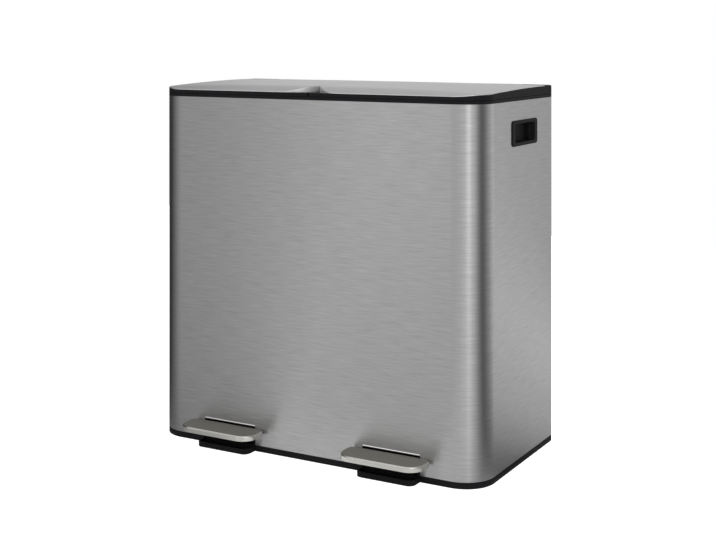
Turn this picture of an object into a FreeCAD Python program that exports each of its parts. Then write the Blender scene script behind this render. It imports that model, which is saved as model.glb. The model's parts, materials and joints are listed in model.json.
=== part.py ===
"""Double recycling bin: a brushed steel body on a plastic base, two lids hinged at the
rear, and under each lid a bucket, a pedal and the push rod that opens the lid.

Millimetres, +Z up, +Y towards the rear. The origin is on the floor, in the middle of
the rectangle that the bin and its pedals stand in.
"""
import FreeCAD, Part
import math
import os
import Sketcher

V = FreeCAD.Vector

SIZES = [
    # body
    ("body_width", 590.0), ("body_depth", 293.0), ("pedal_reach", 49.5),
    ("front_corner", 49.0), ("rear_corner", 10.5),
    ("shell_wall", 0.8), ("shell_top", 565.0), ("seat_gap", 0.2), ("flat_gap", 0.3),
    # base
    ("foot_drop", 1.0), ("foot_height", 4.0), ("foot_radius", 14.0), ("foot_inset", 42.0),
    ("base_rim_top", 10.8), ("base_wall", 2.5), ("deck_top", 45.0), ("rib_wall", 2.0),
    # top rim and rear hinge housing
    ("rim_height", 5.0), ("rim_skirt", 22.0), ("rim_wall", 2.2), ("rim_ledge", 4.0),
    ("rim_front_ledge", 8.5),
    ("rear_deck", 40.5), ("divider_width", 8.0), ("divider_height", 16.0),
    ("housing_depth", 18.7), ("hinge_inset", 6.5), ("hinge_rise", 9.5),
    ("pin_radius", 2.5), ("barrel_radius", 5.0), ("running_gap", 0.05),
    ("arm_width", 14.0), ("arm_side_gap", 1.0), ("arm_inset", 62.0),
    ("pin_grip", 14.0),
    # lids
    ("lid_open", 78.0), ("lid_gap", 0.6), ("seam_gap", 1.5), ("seam_corner", 50.0),
    ("frame_corner", 3.0), ("lid_front_height", 7.3), ("crown_height", 17.8),
    ("crown_back", 141.5), ("crown_radius", 4622.0), ("front_roll", 30.0), ("side_fall", 7.4),
    ("side_fall_rear", 0.6), ("cover_wall", 1.0), ("web_wall", 2.2), ("frame_wall", 2.5),
    ("cover_end", 38.5), ("lid_rear_gap", 0.8), ("rear_strip_height", 14.4),
    ("bumper_radius", 2.4), ("bumper_rise", 2.0), ("bumper_inset", 5.6), ("post_radius", 3.3),
    # crank, push rod and damper
    ("crank_radius", 24.0), ("crank_pin_radius", 2.5), ("lug_width", 5.0),
    ("lug_radius", 5.0), ("fork_gap", 0.6), ("fork_wall", 3.0), ("slot_play", 0.7),
    ("slot_end_play", 0.4), ("slot_wall", 2.5), ("yoke_below", 22.0), ("yoke_socket", 13.0),
    ("rod_radius", 3.0), ("rod_foot_radius", 6.0), ("rod_foot_height", 5.0),
    ("guide_width", 18.0), ("guide_height", 14.0), ("guide_wall", 5.0),
    ("low_guide", 150.0), ("high_guide_drop", 185.0),
    ("damper_offset", 22.0), ("damper_radius", 8.0), ("damper_wall", 1.5),
    ("damper_drop", 140.0), ("damper_length", 80.0), ("damper_rod_radius", 2.0),
    ("piston_height", 6.0), ("damper_rest_reach", 14.0), ("clamp_height", 8.0),
    ("rod_cover_wall", 1.5), ("rod_cover_side", 15.0), ("rod_cover_front", 11.0),
    ("rod_cover_drop", 25.0),
    # pedals
    ("pad_width", 138.0), ("pad_top", 38.0), ("pad_flange", 8.2),
    ("pad_wall", 1.5), ("pad_edge_bevel", 1.8), ("pad_front_corner", 24.0),
    ("pad_rear_corner", 10.0), ("pad_gap", 1.5),
    ("notch_width", 98.5), ("notch_top", 41.3), ("lip_height", 3.0), ("lip_proud", 1.2),
    ("guard_reach", 25.0), ("guard_height", 9.4), ("guard_corner", 11.0),
    ("guard_wall", 2.5), ("cheek_depth", 14.0), ("cheek_top", 31.0),
    ("tongue_width", 88.0), ("tongue_wall", 3.0), ("tongue_back", 22.0),
    ("lever_width", 30.0), ("lever_wall", 2.0), ("pivot_inset", 72.7),
    ("pivot_height", 22.0), ("pivot_radius", 4.0), ("bearing_wall", 8.0),
    ("bearing_half", 9.0), ("bearing_drop", 8.0), ("lever_half", 7.0),
    ("lever_end_top", 9.0), ("lever_roll", 4.0),
    # side handles
    ("handle_width", 102.0), ("handle_height", 40.0), ("handle_back", 167.8),
    ("handle_drop", 70.0), ("handle_corner", 5.5), ("handle_flange", 1.6),
    ("flange_land", 1.0), ("cup_border", 11.0), ("cup_border_high", 5.5), ("cup_depth", 19.0), ("cup_wall", 2.0),
    ("cup_step", 12.0), ("cup_step_share", 7.0),
    # buckets
    ("bucket_drop", 13.0), ("bucket_seam", 8.0), ("bucket_side", 24.0),
    ("bucket_front", 9.5), ("bucket_rear", 43.0), ("bucket_draft", 13.0),
    ("bucket_corner", 34.0), ("bucket_bevel", 5.0), ("bucket_wall", 2.0),
    ("bucket_lip", 4.0), ("bucket_lip_height", 3.0), ("grip_width", 92.0),
    ("grip_height", 22.0), ("grip_drop", 16.0),
]

HALF = "(dims.body_width / 2)"
REAR = "((dims.body_depth + dims.pedal_reach) / 2)"
FRONT = "((dims.pedal_reach - dims.body_depth) / 2)"
RIM_TOP = "(dims.shell_top + dims.rim_height)"
LID_BOTTOM = f"({RIM_TOP} + dims.lid_gap)"
HINGE_Y = f"({REAR} - dims.hinge_inset)"
HINGE_Z = f"({RIM_TOP} + dims.hinge_rise)"
HOUSING_FRONT = f"({REAR} - dims.housing_depth)"
HOUSING_TOP = f"({HINGE_Z} + dims.barrel_radius)"
LID_REAR = f"({HOUSING_FRONT} - dims.lid_rear_gap)"
SHELL_INSET = "(dims.shell_wall + dims.seat_gap)"
DECK_UNDER = "(dims.deck_top - dims.base_wall)"
PIVOT_Y = f"({FRONT} + dims.pivot_inset)"
CRANK_Y = f"({HINGE_Y} - dims.crank_radius * cos(dims.lid_open / 2))"
CRANK_Z = f"({HINGE_Z} - dims.crank_radius * sin(dims.lid_open / 2))"
CRANK_TRAVEL = "(dims.crank_radius * (1 - cos(dims.lid_open / 2)))"
ROD_Y = f"({CRANK_Y} - {CRANK_TRAVEL} / 2)"
YOKE_HALF = ("(({travel} / 2) + dims.crank_pin_radius + dims.slot_end_play "
             "+ dims.slot_wall)").format(travel=CRANK_TRAVEL)
FORK_HALF = "(dims.lug_width / 2 + dims.fork_gap + dims.fork_wall)"
ROD_BOTTOM = "(dims.lever_end_top + dims.flat_gap)"
HANDLE_Y = f"({FRONT} + dims.handle_back)"
HANDLE_Z = "(dims.shell_top - dims.handle_drop + dims.handle_height / 2)"
PEDAL_X = "(dims.body_width / 4)"
BUCKET_TOP = "(dims.shell_top - dims.bucket_drop)"
DAMPER_BOTTOM = "(dims.shell_top - dims.damper_drop)"
DAMPER_TOP = f"({DAMPER_BOTTOM} + dims.damper_length)"
RING_INNER = f"({SHELL_INSET} + dims.base_wall)"

PLANE_SIGN = {"XY_Plane": 1, "XZ_Plane": -1, "YZ_Plane": 1}
SIDES = (("left", -1), ("right", 1))

doc = FreeCAD.newDocument("double_recycling_bin")
dims = doc.addObject("Spreadsheet::Sheet", "dims")
for row, (alias, value) in enumerate(SIZES, start=1):
    dims.set(f"A{row}", alias)
    dims.set(f"B{row}", str(value))
    dims.setAlias(f"B{row}", alias)
doc.recompute()


def number(expression):
    """The present value of an expression, for first positions and for edge picking."""
    value = dims.evalExpression(expression)
    return float(getattr(value, "Value", value))


# ---------------------------------------------------------------- sketches and features

def new_body(name):
    body = doc.addObject("PartDesign::Body", name)
    body.Label = name
    return body


def new_sketch(body, role, level):
    """An empty sketch on one of the body's own planes, at the given level."""
    plane = [item for item in body.Origin.OriginFeatures if item.Role == role][0]
    sketch = body.newObject("Sketcher::SketchObject", f"{body.Name}_sketch")
    sketch.AttachmentSupport = [(plane, "")]
    sketch.MapMode = "FlatFace"
    sketch.setExpression(".AttachmentOffset.Base.z", f"{PLANE_SIGN[role]} * ({level})")
    return sketch


def pin_point(sketch, geometry, end, x, y):
    """Hold one end of a line or a circle's centre at two expressions."""
    for kind, expression in (("DistanceX", x), ("DistanceY", y)):
        value = number(expression)
        row = sketch.addConstraint(Sketcher.Constraint(kind, -1, 1, geometry, end, value))
        sketch.setExpression(f"Constraints[{row}]", expression)


def draw_polygon(sketch, corners):
    """A closed outline of straight lines through the corners."""
    points = [V(number(x), number(y), 0) for x, y in corners]
    first = sketch.GeometryCount
    count = len(points)
    for index in range(count):
        sketch.addGeometry(Part.LineSegment(points[index], points[(index + 1) % count]))
    for index in range(count):
        following = first + (index + 1) % count
        sketch.addConstraint(Sketcher.Constraint("Coincident", first + index, 2, following, 1))
        pin_point(sketch, first + index, 1, *corners[index])


def draw_rectangle(sketch, x0, y0, x1, y1):
    draw_polygon(sketch, [(x0, y0), (x1, y0), (x1, y1), (x0, y1)])


def draw_rounded(sketch, x0, y0, x1, y1, radii):
    """A rectangle with round corners. The radii go round from the corner (x0, y0)."""
    low_left, low_right, high_right, high_left = radii
    sides = [((f"{x0} + {low_left}", y0), (f"{x1} - {low_right}", y0)),
             ((x1, f"{y0} + {low_right}"), (x1, f"{y1} - {high_right}")),
             ((f"{x1} - {high_right}", y1), (f"{x0} + {high_left}", y1)),
             ((x0, f"{y1} - {high_left}"), (x0, f"{y0} + {low_left}"))]
    first = sketch.GeometryCount
    for start, end in sides:
        sketch.addGeometry(Part.LineSegment(V(number(start[0]), number(start[1]), 0),
                                            V(number(end[0]), number(end[1]), 0)))
    for index, (start, end) in enumerate(sides):
        pin_point(sketch, first + index, 1, *start)
        pin_point(sketch, first + index, 2, *end)
    centres = [(f"{x1} - {low_right}", f"{y0} + {low_right}", low_right),
               (f"{x1} - {high_right}", f"{y1} - {high_right}", high_right),
               (f"{x0} + {high_left}", f"{y1} - {high_left}", high_left),
               (f"{x0} + {low_left}", f"{y0} + {low_left}", low_left)]
    quarter = math.pi / 2
    for index, (x, y, radius) in enumerate(centres):
        circle = Part.Circle(V(number(x), number(y), 0), V(0, 0, 1), number(radius))
        start = quarter * (index - 1)
        arc = sketch.addGeometry(Part.ArcOfCircle(circle, start, start + quarter))
        sketch.addConstraint(Sketcher.Constraint("Coincident", arc, 1, first + index, 2))
        following = first + (index + 1) % 4
        sketch.addConstraint(Sketcher.Constraint("Coincident", arc, 2, following, 1))
        held = sketch.addConstraint(Sketcher.Constraint("Radius", arc, number(radius)))
        sketch.setExpression(f"Constraints[{held}]", radius)


def draw_circle(sketch, x, y, radius):
    circle = Part.Circle(V(number(x), number(y), 0), V(0, 0, 1), number(radius))
    drawn = sketch.addGeometry(circle)
    pin_point(sketch, drawn, 3, x, y)
    held = sketch.addConstraint(Sketcher.Constraint("Radius", drawn, number(radius)))
    sketch.setExpression(f"Constraints[{held}]", radius)


def plane_sign(sketch):
    return PLANE_SIGN[sketch.AttachmentSupport[0][0].Role]


def add_pad(body, sketch, length, forwards=True):
    """Solid from the sketch towards the positive axis, or the negative one."""
    pad = body.newObject("PartDesign::Pad", f"{body.Name}_pad")
    pad.Profile = sketch
    pad.setExpression("Length", length)
    pad.Reversed = forwards != (plane_sign(sketch) > 0)
    doc.recompute()
    return pad


def add_pocket(body, sketch, length, forwards=True):
    """Cut from the sketch towards the positive axis, or the negative one."""
    before = body.Shape.Volume
    pocket = body.newObject("PartDesign::Pocket", f"{body.Name}_pocket")
    pocket.Profile = sketch
    pocket.setExpression("Length", length)
    pocket.Reversed = forwards == (plane_sign(sketch) > 0)
    doc.recompute()
    if pocket.Shape.isNull() or pocket.Shape.Volume >= before:
        raise RuntimeError(f"{pocket.Name} removes nothing")
    return pocket


def add_block(body, x0, x1, y0, y1, z0, z1):
    sketch = new_sketch(body, "XY_Plane", z0)
    draw_rectangle(sketch, x0, y0, x1, y1)
    return add_pad(body, sketch, f"{z1} - ({z0})")


def cut_block(body, x0, x1, y0, y1, z0, z1):
    sketch = new_sketch(body, "XY_Plane", z0)
    draw_rectangle(sketch, x0, y0, x1, y1)
    return add_pocket(body, sketch, f"{z1} - ({z0})")


def cut_bore(body, role, level, length, centres, radius):
    """Round holes square to one of the planes, from the level onwards."""
    sketch = new_sketch(body, role, level)
    for x, y in centres:
        draw_circle(sketch, x, y, radius)
    return add_pocket(body, sketch, length)


def add_fillet(body, feature, radius, wanted):
    """Round the edges of the feature for which wanted(edge) holds."""
    names = [f"Edge{index}" for index, edge in enumerate(feature.Shape.Edges, start=1)
             if wanted(edge)]
    fillet = body.newObject("PartDesign::Fillet", f"{body.Name}_fillet")
    fillet.Base = (feature, names)
    fillet.setExpression("Radius", radius)
    doc.recompute()
    return fillet


def add_chamfer(body, feature, size, wanted):
    """Bevel the edges of the feature for which wanted(edge) holds."""
    names = [f"Edge{index}" for index, edge in enumerate(feature.Shape.Edges, start=1)
             if wanted(edge)]
    chamfer = body.newObject("PartDesign::Chamfer", f"{body.Name}_chamfer")
    chamfer.Base = (feature, names)
    chamfer.setExpression("Size", size)
    doc.recompute()
    return chamfer


def lies_at_height(edge, height):
    box = edge.BoundBox
    return abs(box.ZMin - height) < 0.01 and abs(box.ZMax - height) < 0.01


def place(item, x, y, z):
    for axis, expression in (("x", x), ("y", y), ("z", z)):
        item.setExpression(f".Placement.Base.{axis}", expression)


def new_cylinder(name, radius, height, x, y, z, direction=V(0, 0, 1)):
    cylinder = doc.addObject("Part::Cylinder", name)
    cylinder.Label = name
    cylinder.setExpression("Radius", radius)
    cylinder.setExpression("Height", height)
    cylinder.Placement.Rotation = FreeCAD.Rotation(V(0, 0, 1), direction)
    place(cylinder, x, y, z)
    return cylinder


def gather(name, items):
    """Separate solids that share one node."""
    group = doc.addObject("Part::Compound", name)
    group.Label = name
    group.Links = items
    return group


def mirrored_span(sign, inner, outer):
    """Low and high X of a span that lies on one side of the middle."""
    if sign > 0:
        return inner, outer
    return f"-({outer})", f"-({inner})"


def pedal_x(sign):
    return f"({sign} * {PEDAL_X})"


# ---------------------------------------------------------------------------- the shell

def body_outline(sketch, inset):
    """The bin's plan, drawn in from its outer face by the inset."""
    front = f"(dims.front_corner - {inset})"
    rear = f"(dims.rear_corner - {inset})"
    draw_rounded(sketch, f"(-{HALF} + {inset})", f"({FRONT} + {inset})",
                 f"({HALF} - {inset})", f"({REAR} - {inset})", (front, front, rear, rear))


def make_outer_shell():
    body = new_body("outer_shell")
    ring = new_sketch(body, "XY_Plane", "dims.base_rim_top")
    body_outline(ring, "0")
    body_outline(ring, "dims.shell_wall")
    add_pad(body, ring, "dims.shell_top - dims.base_rim_top")
    for _, sign in SIDES:
        x0 = f"{pedal_x(sign)} - dims.notch_width / 2"
        x1 = f"{pedal_x(sign)} + dims.notch_width / 2"
        cut_block(body, x0, x1, f"{FRONT} - 1", f"{FRONT} + dims.front_corner",
                  "dims.base_rim_top", "dims.notch_top")
        add_block(body, x0, x1, f"{FRONT} - dims.lip_proud", f"{FRONT} + dims.shell_wall / 2",
                  "dims.notch_top", "dims.notch_top + dims.lip_height")
    openings = new_sketch(body, "YZ_Plane", f"-{HALF} - 1")
    handle_outline(openings, "dims.flange_land", "dims.flange_land", "dims.handle_corner")
    add_pocket(body, openings, "dims.body_width + 2")
    return body


def handle_outline(sketch, inset, inset_high, corner):
    """The handle's outline on the shell's side, drawn in across and in height."""
    half_width = f"(dims.handle_width / 2 - {inset})"
    half_height = f"(dims.handle_height / 2 - {inset_high})"
    draw_rounded(sketch, f"({HANDLE_Y} - {half_width})", f"({HANDLE_Z} - {half_height})",
                 f"({HANDLE_Y} + {half_width})", f"({HANDLE_Z} + {half_height})", (corner,) * 4)


# ----------------------------------------------------------------------------- the base

def foot_places():
    x = f"({HALF} - dims.foot_inset)"
    return [(f"{sign} * {x}", y) for sign in (-1, 1)
            for y in (f"({FRONT} + dims.foot_inset)", f"({REAR} - dims.foot_inset)")]


def make_base_ring():
    """The plinth: a rim flush with the shell and an upstand that the shell sits over."""
    body = new_body("base_ring")
    rim = new_sketch(body, "XY_Plane", "dims.foot_drop")
    body_outline(rim, "0")
    body_outline(rim, RING_INNER)
    add_pad(body, rim, "dims.base_rim_top - dims.foot_drop")
    upstand = new_sketch(body, "XY_Plane", "dims.base_rim_top")
    body_outline(upstand, SHELL_INSET)
    body_outline(upstand, RING_INNER)
    add_pad(body, upstand, "dims.deck_top - dims.base_rim_top")
    for _, sign in SIDES:
        cut_block(body, f"{pedal_x(sign)} - dims.notch_width / 2",
                  f"{pedal_x(sign)} + dims.notch_width / 2", f"{FRONT} - dims.flat_gap",
                  f"{FRONT} + {RING_INNER} + dims.flat_gap",
                  "dims.base_rim_top", "dims.notch_top")
    return body


def make_base_deck():
    """The floor panel in the ring, with the foot bosses, the pedals' bearings and ribs."""
    body = new_body("base_deck")
    plate = new_sketch(body, "XY_Plane", DECK_UNDER)
    body_outline(plate, f"({RING_INNER} + dims.seat_gap)")
    add_pad(body, plate, "dims.base_wall")
    bosses = new_sketch(body, "XY_Plane", "dims.foot_height")
    for x, y in foot_places():
        draw_circle(bosses, x, y, "dims.foot_radius")
    add_pad(body, bosses, f"{DECK_UNDER} - dims.foot_height")
    inner_front = f"({FRONT} + {RING_INNER} + dims.seat_gap)"
    inner_rear = f"({REAR} - {RING_INNER} - dims.seat_gap)"
    add_block(body, "-dims.rib_wall / 2", "dims.rib_wall / 2", inner_front, inner_rear,
              "dims.foot_height", DECK_UNDER)
    for _, sign in SIDES:
        for end in (-1, 1):
            inner = f"({pedal_x(sign)} + {end} * (dims.lever_width / 2 + dims.arm_side_gap))"
            outer = f"({inner} + {end} * dims.bearing_wall)"
            x0, x1 = (inner, outer) if end > 0 else (outer, inner)
            add_block(body, x0, x1, f"{PIVOT_Y} - dims.bearing_half",
                      f"{PIVOT_Y} + dims.bearing_half",
                      "dims.pivot_height - dims.bearing_drop", DECK_UNDER)
            rib = f"({outer} - {end} * dims.rib_wall)"
            x0, x1 = (rib, outer) if end > 0 else (outer, rib)
            add_block(body, x0, x1, f"{PIVOT_Y} + dims.bearing_half - dims.rib_wall", inner_rear,
                      "dims.foot_height + dims.bearing_drop", DECK_UNDER)
        span = "(dims.lever_width / 2 + dims.arm_side_gap + dims.bearing_wall)"
        cut_bore(body, "YZ_Plane", f"{pedal_x(sign)} - {span} - dims.flat_gap",
                 f"2 * ({span} + dims.flat_gap)",
                 [(PIVOT_Y, "dims.pivot_height")], "dims.pivot_radius + dims.running_gap")
    cut_bore(body, "XY_Plane", f"{DECK_UNDER} - dims.flat_gap",
             "dims.base_wall + 2 * dims.flat_gap",
             [(pedal_x(sign), ROD_Y) for _, sign in SIDES],
             "dims.rod_foot_radius + dims.arm_side_gap")
    return body


def make_pedal_bays():
    """Trays under the deck, each open in front and behind, that close in a pedal's bay."""
    bays = []
    for side, sign in SIDES:
        body = new_body(f"{side}_bay")
        front = f"({FRONT} + {RING_INNER} + dims.seat_gap)"
        rear = f"({PIVOT_Y} - dims.bearing_half - dims.flat_gap)"
        inner = "(dims.notch_width / 2)"
        outer = f"({inner} + dims.rib_wall)"
        middle = pedal_x(sign)
        profile = new_sketch(body, "XZ_Plane", front)
        draw_polygon(profile, [
            (f"({middle} - {outer})", DECK_UNDER), (f"({middle} - {outer})", "dims.foot_height"),
            (f"({middle} + {outer})", "dims.foot_height"), (f"({middle} + {outer})", DECK_UNDER),
            (f"({middle} + {inner})", DECK_UNDER),
            (f"({middle} + {inner})", "(dims.foot_height + dims.rib_wall)"),
            (f"({middle} - {inner})", "(dims.foot_height + dims.rib_wall)"),
            (f"({middle} - {inner})", DECK_UNDER)])
        add_pad(body, profile, f"{rear} - {front}")
        bays.append(body)
    return gather("pedal_bays", bays)


def make_base_feet():
    feet = [new_cylinder("foot_pad", "dims.foot_radius - 1", "dims.foot_height", x, y, "0")
            for x, y in foot_places()]
    return gather("base_feet", feet)


# ---------------------------------------------------------------------- pedals and guards

def make_pedal_guard(side, sign):
    body = new_body(f"{side}_pedal_guard")
    x0 = f"({pedal_x(sign)} - dims.notch_width / 2 + dims.seat_gap)"
    x1 = f"({pedal_x(sign)} + dims.notch_width / 2 - dims.seat_gap)"
    small = "0.5"
    pan = new_sketch(body, "XY_Plane", "dims.foot_drop")
    draw_rounded(pan, x0, f"({FRONT} - dims.guard_reach)", x1, FRONT,
                 ("dims.guard_corner", "dims.guard_corner", small, small))
    add_pad(body, pan, "dims.guard_height - dims.foot_drop")
    inner = "(dims.guard_corner - dims.guard_wall)"
    dish = new_sketch(body, "XY_Plane", "dims.foot_drop + dims.guard_wall")
    draw_rounded(dish, f"({x0} + dims.guard_wall)",
                 f"({FRONT} - dims.guard_reach + dims.guard_wall)",
                 f"({x1} - dims.guard_wall)", f"({FRONT} - dims.guard_wall)",
                 (inner, inner, small, small))
    add_pocket(body, dish, "dims.guard_height")
    for end, inner_x, outer_x in ((-1, f"{x0} + dims.guard_wall", x0),
                                  (1, f"{x1} - dims.guard_wall", x1)):
        low, high = (outer_x, inner_x) if end < 0 else (inner_x, outer_x)
        cheek = new_sketch(body, "YZ_Plane", low)
        draw_polygon(cheek, [
            (f"{FRONT} - dims.guard_wall", "dims.guard_height - 1"),
            (FRONT, "dims.guard_height - 1"),
            (FRONT, "dims.base_rim_top"),
            (f"{FRONT} + dims.cheek_depth", "dims.base_rim_top"),
            (f"{FRONT} + dims.cheek_depth", "dims.cheek_top"),
            (FRONT, "dims.cheek_top")])
        add_pad(body, cheek, f"{high} - ({low})")
    return body


def make_pedal_pad(side, sign):
    body = new_body(f"{side}_pedal_pad")
    plan = new_sketch(body, "XY_Plane", "dims.pad_top - dims.pad_flange")
    draw_rounded(plan, f"({pedal_x(sign)} - dims.pad_width / 2)",
                 f"({FRONT} - dims.pedal_reach)",
                 f"({pedal_x(sign)} + dims.pad_width / 2)", f"({FRONT} - dims.pad_gap)",
                 ("dims.pad_front_corner", "dims.pad_front_corner",
                  "dims.pad_rear_corner", "dims.pad_rear_corner"))
    block = add_pad(body, plan, "dims.pad_flange")
    top = number("dims.pad_top")
    add_chamfer(body, block, "dims.pad_edge_bevel", lambda edge: lies_at_height(edge, top))
    dish = new_sketch(body, "XY_Plane", "dims.pad_top - dims.pad_flange")
    front_inner = "(dims.pad_front_corner - dims.pad_wall)"
    rear_inner = "(dims.pad_rear_corner - dims.pad_wall)"
    draw_rounded(dish, f"({pedal_x(sign)} - dims.pad_width / 2 + dims.pad_wall)",
                 f"({FRONT} - dims.pedal_reach + dims.pad_wall)",
                 f"({pedal_x(sign)} + dims.pad_width / 2 - dims.pad_wall)",
                 f"({FRONT} - dims.pad_gap - dims.pad_wall)",
                 (front_inner, front_inner, rear_inner, rear_inner))
    add_pocket(body, dish, "dims.pad_flange - dims.pad_wall")
    half_gate = "(dims.tongue_width / 2 + dims.flat_gap)"
    cut_block(body, f"{pedal_x(sign)} - {half_gate}", f"{pedal_x(sign)} + {half_gate}",
              f"{FRONT} - dims.pad_gap - 2 * dims.pad_wall", FRONT,
              "dims.pad_top - dims.pad_flange", "dims.pad_top - dims.pad_wall")
    return body


def make_pedal_lever(side, sign):
    """A pressed steel channel: a wide tongue under the pad, then a narrow arm that
    runs back past the pivot to a rolled end under the foot of the push rod."""
    body = new_body(f"{side}_pedal_lever")
    x = pedal_x(sign)
    tongue_top = "(dims.pad_top - dims.pad_wall)"
    tongue_low = f"({tongue_top} - dims.tongue_wall)"
    arm_top = "(dims.pivot_height + dims.lever_half)"
    arm_low = "(dims.pivot_height - dims.lever_half)"
    arm_front = f"({FRONT} + dims.tongue_back)"
    roll_middle = "(dims.lever_end_top - dims.lever_roll)"
    roll_start = f"({ROD_Y} - dims.lever_roll / 2)"
    tongue_start = f"({arm_front} + dims.tongue_back / 2)"
    profile = new_sketch(body, "YZ_Plane", f"{x} - dims.lever_width / 2")
    draw_polygon(profile, [
        (f"({arm_front} - dims.tongue_back / 2)", tongue_low),
        (PIVOT_Y, arm_low),
        (ROD_Y, f"({roll_middle} - dims.lever_roll / 2)"),
        (ROD_Y, roll_middle),
        (roll_start, f"({roll_middle} + dims.lever_roll / 2)"),
        (PIVOT_Y, arm_top),
        (tongue_start, tongue_top),
        (f"({arm_front} - dims.tongue_back / 2)", tongue_top)])
    add_pad(body, profile, "dims.lever_width")
    hollow = new_sketch(body, "YZ_Plane", f"{x} - dims.lever_width / 2 + dims.lever_wall")
    under = f"({roll_middle} - 2 * dims.lever_roll)"
    draw_polygon(hollow, [
        (tongue_start, under),
        (roll_start, under),
        (roll_start, f"({roll_middle} + dims.lever_roll / 2 - dims.lever_wall)"),
        (PIVOT_Y, f"({arm_top} - dims.lever_wall)"),
        (tongue_start, f"({tongue_top} - 2 * dims.lever_wall)")])
    add_pocket(body, hollow, "dims.lever_width - 2 * dims.lever_wall")
    roll = new_sketch(body, "YZ_Plane", f"{x} - dims.lever_width / 2")
    draw_circle(roll, ROD_Y, roll_middle, "dims.lever_roll")
    add_pad(body, roll, "dims.lever_width")
    corner = "dims.pad_rear_corner"
    root = "dims.lever_wall"
    tongue = new_sketch(body, "XY_Plane", tongue_low)
    draw_rounded(tongue, f"({x} - dims.tongue_width / 2)",
                 f"({FRONT} - dims.pedal_reach + dims.pad_wall + dims.pad_edge_bevel)",
                 f"({x} + dims.tongue_width / 2)", arm_front,
                 (corner, corner, root, root))
    add_pad(body, tongue, "dims.tongue_wall")
    cut_bore(body, "YZ_Plane", f"{x} - dims.lever_width", "2 * dims.lever_width",
             [(PIVOT_Y, "dims.pivot_height")], "dims.pivot_radius + dims.running_gap")
    return body


def make_pedal_pins():
    length = "(dims.lever_width + 2 * (dims.arm_side_gap + dims.bearing_wall))"
    pins = [new_cylinder("pedal_pin", "dims.pivot_radius", length,
                         f"{pedal_x(sign)} - {length} / 2", PIVOT_Y, "dims.pivot_height",
                         V(1, 0, 0)) for _, sign in SIDES]
    return gather("pedal_pivot_pins", pins)


# ------------------------------------------------------------------ rim and hinge housing

def arm_places(sign):
    return [f"({sign} * dims.arm_inset)", f"({sign} * ({HALF} - dims.arm_inset))"]


def make_top_rim():
    body = new_body("top_rim")
    band = new_sketch(body, "XY_Plane", "dims.shell_top")
    body_outline(band, "0")
    add_pad(body, band, "dims.rim_height")
    skirt = new_sketch(body, "XY_Plane", "dims.shell_top - dims.rim_skirt")
    body_outline(skirt, SHELL_INSET)
    body_outline(skirt, f"({SHELL_INSET} + dims.rim_wall)")
    add_pad(body, skirt, "dims.rim_skirt")
    add_block(body, "-dims.divider_width / 2", "dims.divider_width / 2",
              f"{FRONT} + {SHELL_INSET} + dims.rim_wall / 2", f"{REAR} - dims.rear_deck",
              f"{RIM_TOP} - dims.divider_height", RIM_TOP)
    edge = f"({HALF} - dims.rim_ledge)"
    for _, sign in SIDES:
        x0, x1 = mirrored_span(sign, "dims.divider_width / 2", edge)
        mouth = new_sketch(body, "XY_Plane", "dims.shell_top - 0.1")
        outer = "(dims.front_corner - dims.rim_ledge)"
        rear = "dims.rim_ledge"
        near = "dims.bucket_corner"
        radii = (near, outer) if sign > 0 else (outer, near)
        draw_rounded(mouth, f"({x0})", f"({FRONT} + dims.rim_front_ledge)", f"({x1})",
                     f"({REAR} - dims.rear_deck)", radii + (rear, rear))
        add_pocket(body, mouth, "dims.rim_height + 0.2")
    housing = new_sketch(body, "XY_Plane", RIM_TOP)
    rear = "dims.rear_corner"
    draw_rounded(housing, f"-{HALF}", HOUSING_FRONT, HALF, REAR, ("0.4", "0.4", rear, rear))
    raised = add_pad(body, housing, f"{HOUSING_TOP} - {RIM_TOP}")
    front = number(HOUSING_FRONT)
    top = number(HOUSING_TOP)
    add_fillet(body, raised, "dims.pin_radius", lambda edge: lies_at_height(edge, top)
               and abs(edge.BoundBox.YMin - front) < 0.01 and edge.BoundBox.YLength < 0.01)
    slot_floor = f"({HINGE_Z} - dims.barrel_radius - dims.arm_side_gap)"
    for _, sign in SIDES:
        for x in arm_places(sign):
            half = "(dims.arm_width / 2 + dims.arm_side_gap)"
            cut_block(body, f"{x} - {half}", f"{x} + {half}", f"{HOUSING_FRONT} - 1",
                      f"{REAR} + 1", slot_floor, f"{HOUSING_TOP} + 1")
        cut_block(body, f"{pedal_x(sign)} - {FORK_HALF} - 2 * dims.arm_side_gap",
                  f"{pedal_x(sign)} + {FORK_HALF} + 2 * dims.arm_side_gap",
                  f"{ROD_Y} - {YOKE_HALF} - dims.arm_side_gap", HOUSING_FRONT,
                  "dims.shell_top - 1", f"{RIM_TOP} + 1")
    cut_bore(body, "YZ_Plane", f"-{HALF} + dims.pin_grip", "dims.body_width - 2 * dims.pin_grip",
             [(HINGE_Y, HINGE_Z)], "dims.pin_radius + dims.running_gap")
    return body


def make_hinge_pins():
    length = "(dims.arm_width + 2 * (dims.arm_side_gap + dims.pin_grip))"
    pins = [new_cylinder("hinge_pin", "dims.pin_radius", length, f"{x} - {length} / 2",
                         HINGE_Y, HINGE_Z, V(1, 0, 0))
            for _, sign in SIDES for x in arm_places(sign)]
    return gather("hinge_pins", pins)


# -------------------------------------------------------------------------------- lids

def lid_height(across, back):
    """Height of the lid's top above the rim, at a place measured across from the seam
    and back from the front face: a long crown, falling to the side and rolled down at
    the front."""
    half = number(HALF)
    depth = number("dims.body_depth")
    roll = number("dims.front_roll")
    crown = (number("dims.crown_height")
             - (back - number("dims.crown_back")) ** 2 / (2 * number("dims.crown_radius")))
    fall_front = number("dims.side_fall")
    fall = fall_front - (fall_front - number("dims.side_fall_rear")) * back / depth
    level = crown - fall * max(across / half, 0) ** 3
    front = number("dims.lid_front_height")
    rest = max(1 - back / roll, 0)
    return front + (level - front) * (1 - rest ** 2)


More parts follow.
